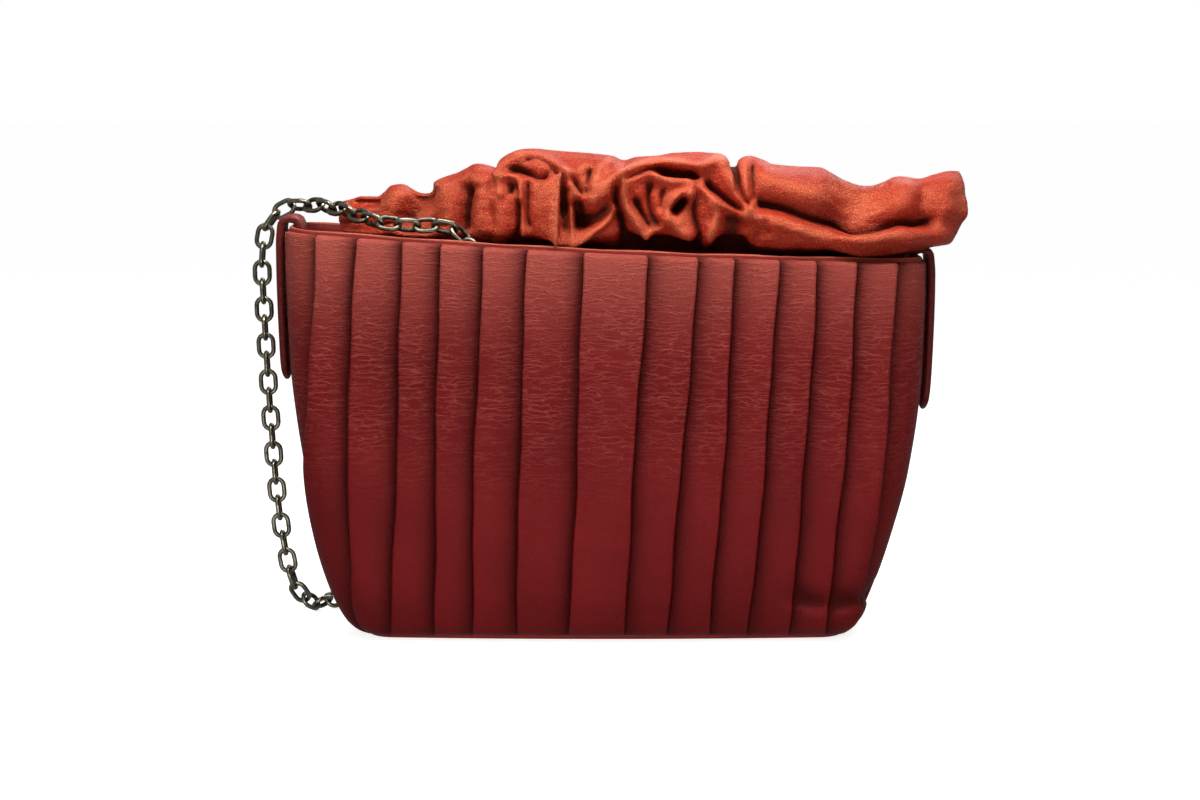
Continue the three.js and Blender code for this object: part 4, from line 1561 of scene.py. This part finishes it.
@dataclass
class GatheredCollar(Piece):
    """The collar: a hollow ring of soft leather, gathered round the mouth."""

    form: BodyForm
    view: PhotoView = field(default_factory=PhotoView)
    half_depth: float = 22.8
    swell: float = 9.0
    overhang: float = 5.0
    sag: float = 2.6
    skirt: float = 14.0
    back_drop: float = 5.0
    front_stations: int = 500
    front_evenness: float = 0.65
    back_stations: int = 230
    outside_rows: int = 88
    inside_rows: int = 24
    inside_middle: float = 18.0
    inside_drop: float = 58.0
    lip_turn: float = 2.4
    lip_step: float = 1.2
    least_opening: float = 1.4
    grain_seed: int = 5
    grain_wave: float = 9.0
    grain: float = 0.16
    skirt_rise: float = -0.3
    # share of the rise over the rim, half-depth and swell, and the ring's left and right ends
    profile: dict[str, tuple[float, ...]] = field(
        default_factory=lambda: {
            "rise": (-0.3, 0.0, 0.05, 0.12, 0.22, 0.38, 0.6, 0.8, 0.93, 1.0),
            "depth": (0.5, 0.52, 0.62, 0.74, 0.8, 0.82, 0.8, 0.72, 0.6, 0.44),
            "swell": (0.0, 0.0, 0.3, 0.75, 1.0, 1.0, 0.95, 0.8, 0.6, 0.3),
            "left": (-103.0, -103.0, -104.0, -105.0, -105.5, -106.0, -106.0, -105.5, -105.0, -104.0),
            "right": (104.0, 106.0, 112.0, 119.5, 127.5, 136.5, 140.5, 140.5, 140.0, 138.5),
        }
    )
    gathers: dict[str, tuple[float, ...]] = field(
        default_factory=lambda: {
            "x": (-106.0, -93.0, -70.0, -45.0, -20.0, 10.0, 40.0, 62.0, 85.0, 110.0, 125.0, 142.0),
            "front": (-0.3, -0.4, -0.3, 0.2, 0.5, 0.45, 0.55, 0.8, 1.0, 1.05, 0.9, 0.5),
            "back": (0.0, 0.2, 0.1, 0.2, 0.2, 0.1, 0.2, 0.3, 0.3, 0.3, 0.2, 0.1),
            "drift": (0.3, 0.22, 0.14, 0.03, 0.0, 0.0, 0.0, 0.0, -0.04, -0.1, -0.14, -0.15),
        }
    )

    def _crest(self, x: np.ndarray) -> np.ndarray:
        """The crest's height over x."""
        view = self.view
        shrink = -view.plane / view.distance
        table = np.array(CREST, dtype=float)
        places = ((table[:, 0] - view.middle) / view.scale + view.middle_x) * (1 + shrink)
        shown = (view.table - table[:, 1]) / view.scale
        heights = (shown - view.eye * shrink) / (1 - shrink)
        return eased(places, heights, x)

    def _ring(self, stations: np.ndarray, side: Side, rise: np.ndarray) -> Points:
        """Points of the undisturbed ring on one side.

        Args:
            stations: places along the collar, from -1 at its left end to 1 at its right end.
            side: front or back.
            rise: rows up the outside, as shares of the rise over the rim.

        Returns:
            Points by row and station.
        """
        table = self.profile
        t = (stations + 1) / 2
        left = eased(table["rise"], table["left"], rise)[:, None]
        right = eased(table["rise"], table["right"], rise)[:, None]
        x = left + (right - left) * t[None, :]
        round_end = (1 - np.abs(stations) ** 3.4).clip(0.0) ** (1 / 2.6)
        depth = eased(table["rise"], table["depth"], rise)[:, None] * self.half_depth
        key = "front" if side is Side.FRONT else "back"
        swell = eased(self.gathers["x"], self.gathers[key], x) * self.swell
        depth = depth + swell * eased(table["rise"], table["swell"], rise)[:, None]
        drift = eased(self.gathers["x"], self.gathers["drift"], x) * self.half_depth
        drift = drift * smoothstep(0.0, 0.3, rise)[:, None]
        rim = self.form.rim(np.clip(x, -126.0, 126.0))
        crest = self._crest(x)
        lower = 0.0 if side is Side.FRONT else self.back_drop
        z = rim + (crest - lower - rim) * rise[:, None]
        z = np.where(rise[:, None] < 0, rim + self.skirt * rise[:, None] / -self.skirt_rise, z)
        if side is Side.FRONT:
            leaning = smoothstep(80.0, 100.0, x) * (1 - smoothstep(126.0, 138.0, x))
            over = np.exp(-(((rise - 0.3) / 0.2) ** 2))[:, None]
            under = np.exp(-(((rise - 0.16) / 0.06) ** 2))[:, None]
            depth = depth + self.overhang * leaning * over * (rise > 0.0)[:, None]
            z = z - self.sag * leaning * under
        return np.stack([x, side.value * depth * round_end[None, :] + drift, z], axis=-1)

    def _normals(self, grid: Points) -> Points:
        """Unit directions out of a grid of points, which run up by row and round by column."""
        closed = np.concatenate([grid[:, -1:], grid, grid[:, :1]], axis=1)
        up = np.gradient(closed, axis=0)
        along = np.gradient(closed, axis=1)
        normal = np.cross(along, up)[:, 1:-1]
        return normal / np.maximum(np.linalg.norm(normal, axis=-1, keepdims=True), 1e-9)

    def _folds(self, grid: Points, front_count: int) -> np.ndarray:
        """The height of the folds over each point of the outside.

        Args:
            grid: the undisturbed outside, by row and station.
            front_count: how many stations are on the front.

        Returns:
            Heights in millimetres.
        """
        heights = np.zeros(grid.shape[:2])
        across, down = self.view.pixel(grid)
        front = np.zeros(grid.shape[1])
        front[:front_count] = 1.0
        front = blurred(front[None, :].repeat(3, axis=0), 4)[0]
        for strokes, share in ((FRONT_STROKES, front), (BACK_STROKES, 1 - front)):
            used = share > 0
            total = np.zeros((grid.shape[0], used.sum()))
            for stroke in strokes:
                total += stroke.shape(across[:, used], down[:, used])
            heights[:, used] += total * share[used]
        return heights

    def _front_places(self) -> np.ndarray:
        """The front's stations, closer together towards both ends."""
        turn = np.linspace(0.06, math.pi - 0.06, self.front_stations)
        even = np.linspace(-1.0, 1.0, self.front_stations)
        stations = self.front_evenness * even - (1 - self.front_evenness) * np.cos(turn)
        stations[0], stations[-1] = -1.0, 1.0
        return stations

    def _inside(self, lip: Points) -> tuple[Points, np.ndarray]:
        """The rows down the inside.

        Args:
            lip: the outside's topmost row.

        Returns:
            Their points, and their painted shading, a painted shade that deepens down into the mouth.
        """
        drift = np.array(self.gathers["drift"]) * self.half_depth
        middle_y = np.interp(lip[:, 0], self.gathers["x"], drift)
        away_y = lip[:, 1] - middle_y
        away_x = lip[:, 0] - self.inside_middle
        rows = []
        shade = []
        for step in np.linspace(0.0, 1.0, self.inside_rows)[1:]:
            turn = min(step * 4.0, 1.0) * math.pi / 2
            inward = self.lip_turn * math.sin(turn) + self.lip_step * (step > 0.25)
            narrowing = np.where(away_x > 0, 0.32, 0.08) * smoothstep(0.1, 1.0, step)
            x = self.inside_middle + away_x * (1 - narrowing)
            y = middle_y + np.sign(away_y) * np.maximum(np.abs(away_y) - inward, self.least_opening)
            drop = 1.5 * (1 - math.cos(turn)) + self.inside_drop * max(0.0, step - 0.2)
            rows.append(np.stack([x, y, lip[:, 2] - drop], axis=-1))
            # painted shade, deeper down in the mouth
            shade.append(np.full(len(lip), PLAIN * (1 - min(1.0, step * 2.0))))
        return np.array(rows), np.array(shade)

    def skin(self) -> Skin:
        """Shapes the collar.

        Returns:
            Its surface.
        """
        back = np.linspace(1.0, -1.0, self.back_stations + 2)[1:-1]
        rise = np.linspace(self.skirt_rise, 1.0, self.outside_rows)
        halves = [self._ring(self._front_places(), Side.FRONT, rise), self._ring(back, Side.BACK, rise)]
        grid = np.concatenate(halves, axis=1)
        normals = self._normals(grid)
        normals[..., 2] *= (1 - 0.85 * smoothstep(0.7, 0.97, rise))[:, None]
        folds = self._folds(grid, self.front_stations)
        fade = smoothstep(-0.1, 0.1, rise) * (1 - 0.45 * smoothstep(0.88, 1.0, rise))
        grain = ripple(grid[..., 0], grid[..., 2] * 1.6, self.grain_seed, self.grain_wave) * self.grain
        moved = grid + normals * ((folds + grain) * fade[:, None])[..., None]

        tilt = blurred(self._normals(moved)[..., 2], 2)
        # painted shading: painted highlight on folds that stand out, painted shade in the hollows
        # between them
        painted_shading = 0.1 * (folds - blurred(folds, 7)) + 0.05 * (folds - blurred(folds, 24))
        # painted shade on faces that turn downwards
        painted_shading = painted_shading - 0.22 * smoothstep(0.0, 0.6, -tilt)
        # painted shade at the collar's foot, down by the rim
        painted_shading = 0.52 + painted_shading - 0.4 * (1 - smoothstep(0.0, 0.16, rise))[:, None]
        # painted sheen on faces that tilt upwards, but not on flat tops
        painted_sheen = smoothstep(-0.05, 0.3, tilt) * (1 - smoothstep(0.45, 0.8, tilt))

        inside, shade = self._inside(moved[-1])
        points = np.concatenate([moved, inside])
        painted_shading = np.concatenate([np.clip(painted_shading, 0.0, 1.0), shade])
        painted_sheen = np.concatenate([painted_sheen, np.zeros_like(shade)])
        faces = grid_faces(*points.shape[:2], around=True)
        return Skin(points.reshape(-1, 3), faces, {"painted_shading": painted_shading.ravel(), "painted_sheen": painted_sheen.ravel()})


# The strap

# Shares of the half-width, the half-depth and the height, and the links' roll in degrees
STRAP_ROUTE = (
    (-0.413, -0.522, 0.932, 90),
    (-0.414, -0.531, 0.988, 80),
    (-0.44, -0.536, 1.045, 55),
    (-0.492, -0.536, 1.068, 45),
    (-0.571, -0.536, 1.068, 45),
    (-0.667, -0.514, 1.073, 45),
    (-0.746, -0.375, 1.085, 45),
    (-0.81, -0.125, 1.099, 45),
    (-0.869, 0.125, 1.106, 45),
    (-0.937, 0.347, 1.108, 45),
    (-1.008, 0.467, 1.103, 30),
    (-1.071, 0.5, 1.064, 10),
    (-1.095, 0.514, 0.985, 0),
    (-1.092, 0.514, 0.821, 0),
    (-1.084, 0.514, 0.657, 0),
    (-1.073, 0.514, 0.492, 0),
    (-1.059, 0.522, 0.328, 0),
    (-1.037, 0.533, 0.184, 0),
    (-1.008, 0.561, 0.085, 10),
    (-0.964, 0.667, 0.033, 35),
    (-0.913, 0.917, 0.024, 45),
    (-0.849, 1.167, 0.024, 45),
    (-0.746, 1.361, 0.024, 45),
    (-0.556, 1.444, 0.024, 45),
    (-0.238, 1.444, 0.024, 45),
    (-0.063, 1.403, 0.026, 45),
    (0.032, 1.333, 0.059, 45),
    (0.071, 1.236, 0.138, 45),
    (0.079, 1.167, 0.263, 45),
    (0.079, 1.139, 0.394, 45),
    (0.079, 1.125, 0.591, 45),
    (0.079, 1.042, 0.821, 45),
    (0.079, 0.944, 0.985, 45),
    (0.079, 0.792, 1.051, 50),
    (0.079, 0.611, 1.054, 60),
    (0.079, 0.528, 0.995, 80),
    (0.079, 0.517, 0.915, 90),
)


@dataclass
class ChainStrap(Piece):
    """The strap: a cable chain whose links are turned a quarter from each other."""

    form: BodyForm
    link_length: float = 11.1
    link_width: float = 7.8
    wire: float = 1.9
    seat: float = 0.12
    end_steps: int = 9
    straight_steps: int = 3
    sides: int = 10
    route_steps: int = 60

    def _curve(self) -> tuple[np.ndarray, np.ndarray]:
        """The route as a fine line of even speed in each stretch, and the roll along it.

        Returns:
            Points in millimetres and rolls in degrees.
        """
        form = self.form
        table = np.array(STRAP_ROUTE)
        nodes = table[:, :3] * np.array([form.half_width, form.half_depth, form.height])
        ends = np.concatenate([[2 * nodes[0] - nodes[1]], nodes, [2 * nodes[-1] - nodes[-2]]])
        line = []
        rolls = []
        t = np.linspace(0.0, 1.0, self.route_steps, endpoint=False)[:, None]
        for i in range(len(nodes) - 1):
            p0, p1, p2, p3 = ends[i : i + 4]
            d0, d1, d2 = (np.sqrt(np.linalg.norm(b - a)) for a, b in ((p0, p1), (p1, p2), (p2, p3)))
            m1 = ((p1 - p0) / d0 - (p2 - p0) / (d0 + d1) + (p2 - p1) / d1) * d1
            m2 = ((p2 - p1) / d1 - (p3 - p1) / (d1 + d2) + (p3 - p2) / d2) * d1
            a = 2 * p1 - 2 * p2 + m1 + m2
            b = -3 * p1 + 3 * p2 - 2 * m1 - m2
            line.append(p1 + m1 * t + b * t**2 + a * t**3)
            rolls.append(table[i, 3] + (table[i + 1, 3] - table[i, 3]) * t[:, 0])
        line.append(nodes[-1:])
        rolls.append(table[-1:, 3])
        return np.concatenate(line), np.concatenate(rolls)

    def _joints(self) -> tuple[np.ndarray, np.ndarray]:
        """Where the links hook into each other, and their roll there."""
        line, rolls = self._curve()
        run = np.concatenate([[0.0], np.cumsum(np.linalg.norm(np.diff(line, axis=0), axis=1))])
        pitch = self.link_length - 2 * self.wire
        count = 2 * math.floor(run[-1] / pitch / 2) + 1
        at = np.linspace(0.0, run[-1], count + 1)
        joints = np.stack([np.interp(at, run, line[:, axis]) for axis in range(3)], axis=-1)
        return joints, np.interp(at, run, rolls)

    def _link(self, start: np.ndarray, end: np.ndarray, roll_angle: float, quarter: bool) -> Points:
        """The skin of one link.

        Args:
            start: the joint at its first end.
            end: the joint at its other end.
            roll_angle: how far it is turned about the route, in degrees.
            quarter: whether it is turned a further quarter.

        Returns:
            Points round the link and round its wire.
        """
        along = end - start
        length = float(np.linalg.norm(along)) + 2 * self.wire - self.seat
        along /= np.linalg.norm(along)
        face = np.array([0.0, 1.0, 0.0])
        face -= along * face.dot(along)
        face /= np.linalg.norm(face)
        angle = math.radians(roll_angle) + (math.pi / 2 if quarter else 0.0)
        face = face * math.cos(angle) + np.cross(along, face) * math.sin(angle)
        across = np.cross(face, along)
        radius = (self.link_width - self.wire) / 2
        straight = (length - self.link_width) / 2
        turns = np.linspace(-math.pi / 2, math.pi / 2, self.end_steps)
        line = [(straight + radius * math.cos(a), radius * math.sin(a)) for a in turns]
        inner = np.linspace(straight, -straight, self.straight_steps + 2)[1:-1]
        line += [(x, radius) for x in inner]
        line += [(-straight - radius * math.cos(a), -radius * math.sin(a)) for a in turns]
        line += [(-x, -radius) for x in inner]
        flat = np.array(line)
        step = np.roll(flat, -1, axis=0) - np.roll(flat, 1, axis=0)
        step /= np.linalg.norm(step, axis=1)[:, None]
        out = np.stack([step[:, 1], -step[:, 0]], axis=-1)
        middle = (start + end) / 2
        centres = middle + flat[:, :1] * along + flat[:, 1:] * across
        outs = out[:, :1] * along + out[:, 1:] * across
        ring = np.linspace(0.0, 2 * math.pi, self.sides, endpoint=False)
        cos, sin = np.cos(ring)[None, :, None], np.sin(ring)[None, :, None]
        return centres[:, None] + self.wire / 2 * (outs[:, None] * cos + face * sin)

    def skin(self) -> Skin:
        """Shapes the chain.

        Returns:
            Its surface, with how far each place lies in the hollow of its link.
        """
        joints, rolls = self._joints()
        turns = (rolls[:-1] + rolls[1:]) / 2
        ring = np.linspace(0.0, 2 * math.pi, self.sides, endpoint=False)
        hollow = (0.5 - 0.5 * np.cos(ring)) ** 1.5
        links = []
        faces: Faces = []
        for i, turn in enumerate(turns):
            rings = self._link(joints[i], joints[i + 1], float(turn), i % 2 == 1)
            link = lofted(rings, filled_ends=False)
            start = i * len(link.points)
            links.append(link.points)
            faces += [tuple(start + corner for corner in face) for face in link.faces]
        points = np.concatenate(links)
        LOG.info("chain: %d links", len(links))
        return Skin(points, faces, {"hollow": np.tile(hollow, len(points) // self.sides)}, closed=True)


# Studio


@dataclass(frozen=True)
class Lamp:
    """A soft rectangular light. Places and sizes are in metres and its power in watts."""

    name: str
    place: Place
    target: Place
    size: tuple[float, float]
    power: float

    def hang(self) -> None:
        """Adds the light to the scene."""
        data = bpy.data.lights.new(self.name, "AREA")
        data.shape = "RECTANGLE"
        data.size, data.size_y = self.size
        data.energy = self.power
        light = bpy.data.objects.new(self.name, data)
        light.location = self.place
        light.visible_camera = False
        pointing = Vector(self.target) - Vector(self.place)
        light.rotation_euler = pointing.to_track_quat("-Z", "Y").to_euler()
        bpy.context.scene.collection.objects.link(light)


LAMPS = (
    Lamp("top_light", (0.0, -0.14, 0.43), (0.0, -0.03, 0.13), (0.5, 0.06), 2.1),
    Lamp("front_light", (-0.35, -1.2, 0.6), (0.0, 0.0, 0.1), (0.4, 0.3), 1.5),
    Lamp("table_light", (0.0, -0.2, 0.012), (0.0, -0.03, 0.02), (0.45, 0.05), 0.36),
    Lamp("back_light", (0.3, 0.9, 0.7), (0.0, 0.0, 0.12), (0.8, 0.5), 3.0),
)


@dataclass
class Studio:
    """The floor, the surroundings, the lights and the camera. Lengths are in metres."""

    lens: float = 85.0
    sensor: float = 36.0
    distance: float = 1.1
    elevation: float = 7.5
    aim: Place = (-0.0023, -0.028, 0.0955)
    floor_size: float = 12.0
    floor_glow: float = 0.8
    floor_pale: Colour = (0.86, 0.86, 0.86)
    floor_dull: Colour = (0.82, 0.82, 0.82)
    glow_low: Colour = (0.3, 0.3, 0.3)
    glow_high: Colour = (0.2, 0.2, 0.2)
    white: Colour = (1.0, 1.0, 1.0)

    def _floor(self) -> None:
        """Lays the pale floor."""
        material, recipe = new_material("pale_floor")
        cloud = recipe.noise(recipe.place(), 3.0, 2.0)
        shader = recipe.node(
            "ShaderNodeBsdfPrincipled",
            None,
            {
                "Base Color": recipe.mix(cloud * 0.2, self.floor_pale, self.floor_dull),
                "Roughness": 0.9,
                "Specular IOR Level": 0.1,
                "Emission Color": self.white,
                "Emission Strength": self.floor_glow,
            },
        )
        recipe.node("ShaderNodeOutputMaterial", None, {"Surface": shader})
        half = self.floor_size / 2 / METRES
        corners = [(-half, -half, 0.0), (half, -half, 0.0), (half, half, 0.0), (-half, half, 0.0)]
        floor = Skin(np.array(corners), [(0, 1, 2, 3)]).make("floor", material)
        floor.visible_diffuse = False
        floor.visible_glossy = False

    def _surroundings(self) -> None:
        """Makes the plain surroundings: white to look at, and dimmer as a source of light."""
        world = bpy.data.worlds.new("studio")
        world.use_nodes = True
        bpy.context.scene.world = world
        recipe = Recipe(world.node_tree)
        seen = recipe.node("ShaderNodeLightPath", output="Is Camera Ray")
        direction = recipe.node("ShaderNodeTexCoord", output="Generated")
        up = recipe.node("ShaderNodeSeparateXYZ", sockets={0: direction}, output="Z")
        glow = recipe.mix(up.between(-0.2, 0.9), self.glow_low, self.glow_high)
        dim = recipe.node("ShaderNodeBackground", None, {"Color": glow, "Strength": 1.0})
        white = recipe.node("ShaderNodeBackground", None, {"Color": self.white, "Strength": 1.0})
        both = recipe.node("ShaderNodeMixShader", None, {0: seen, 1: dim, 2: white})
        recipe.node("ShaderNodeOutputWorld", None, {"Surface": both})

    def _camera(self) -> None:
        """Sets up the camera at the photograph's viewing angle."""
        data = bpy.data.cameras.new("camera")
        data.lens = self.lens
        data.sensor_width = self.sensor
        data.clip_end = 20.0
        camera = bpy.data.objects.new("camera", data)
        angle = math.radians(self.elevation)
        aim = Vector(self.aim)
        away = Vector((0.0, -math.cos(angle), math.sin(angle))) * self.distance
        camera.location = aim + away
        camera.rotation_euler = (-away).to_track_quat("-Z", "Y").to_euler()
        bpy.context.scene.collection.objects.link(camera)
        bpy.context.scene.camera = camera

    def build(self) -> None:
        """Sets up everything round the bag."""
        view = bpy.context.scene.view_settings
        view.view_transform = "Standard"
        view.look = "None"
        self._floor()
        self._surroundings()
        for lamp in LAMPS:
            lamp.hang()
        self._camera()


def main() -> None:
    """Builds the bag piece by piece over its CAD frame, and the studio round it."""
    logging.basicConfig(level=logging.INFO, format="%(name)s: %(message)s")
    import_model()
    Studio().build()

    form = BodyForm()
    finishes = {slot: finish.make() for slot, finish in FINISHES.items()}
    pieces = (
        ("pleated_front", "front_panel", "pleated_leather", PleatedFront(form)),
        ("plain_back", "back_panel", "pleated_leather", PlainBack(form)),
        ("gusset_left_leather", "gusset_left", "pleated_leather", SideGusset(form, -1)),
        ("tab_left_leather", "side_tab_left", "edge_leather", SideTab(form, -1)),
        ("gusset_right_leather", "gusset_right", "pleated_leather", SideGusset(form, 1)),
        ("tab_right_leather", "side_tab_right", "edge_leather", SideTab(form, 1)),
        ("base_leather", "base_panel", "edge_leather", BasePlate(form)),
        ("rim_binding_leather", "rim_binding", "edge_leather", RimBinding(form)),
        ("gathered_collar_leather", "gathered_collar", "gathered_leather", GatheredCollar(form)),
        ("chain_links", "strap_chain", "chain_metal", ChainStrap(form)),
    )
    for name, node, slot, piece in pieces:
        piece.build(name, node, slot, finishes[slot])
    for name in ("strap_staple_front", "strap_staple_rear"):
        staple = bpy.data.objects[name]
        staple.data.materials.clear()
        staple.data.materials.append(finishes["chain_metal"])
        LOG.info("%s: carried over", name)


if __name__ == "__main__":
    main()
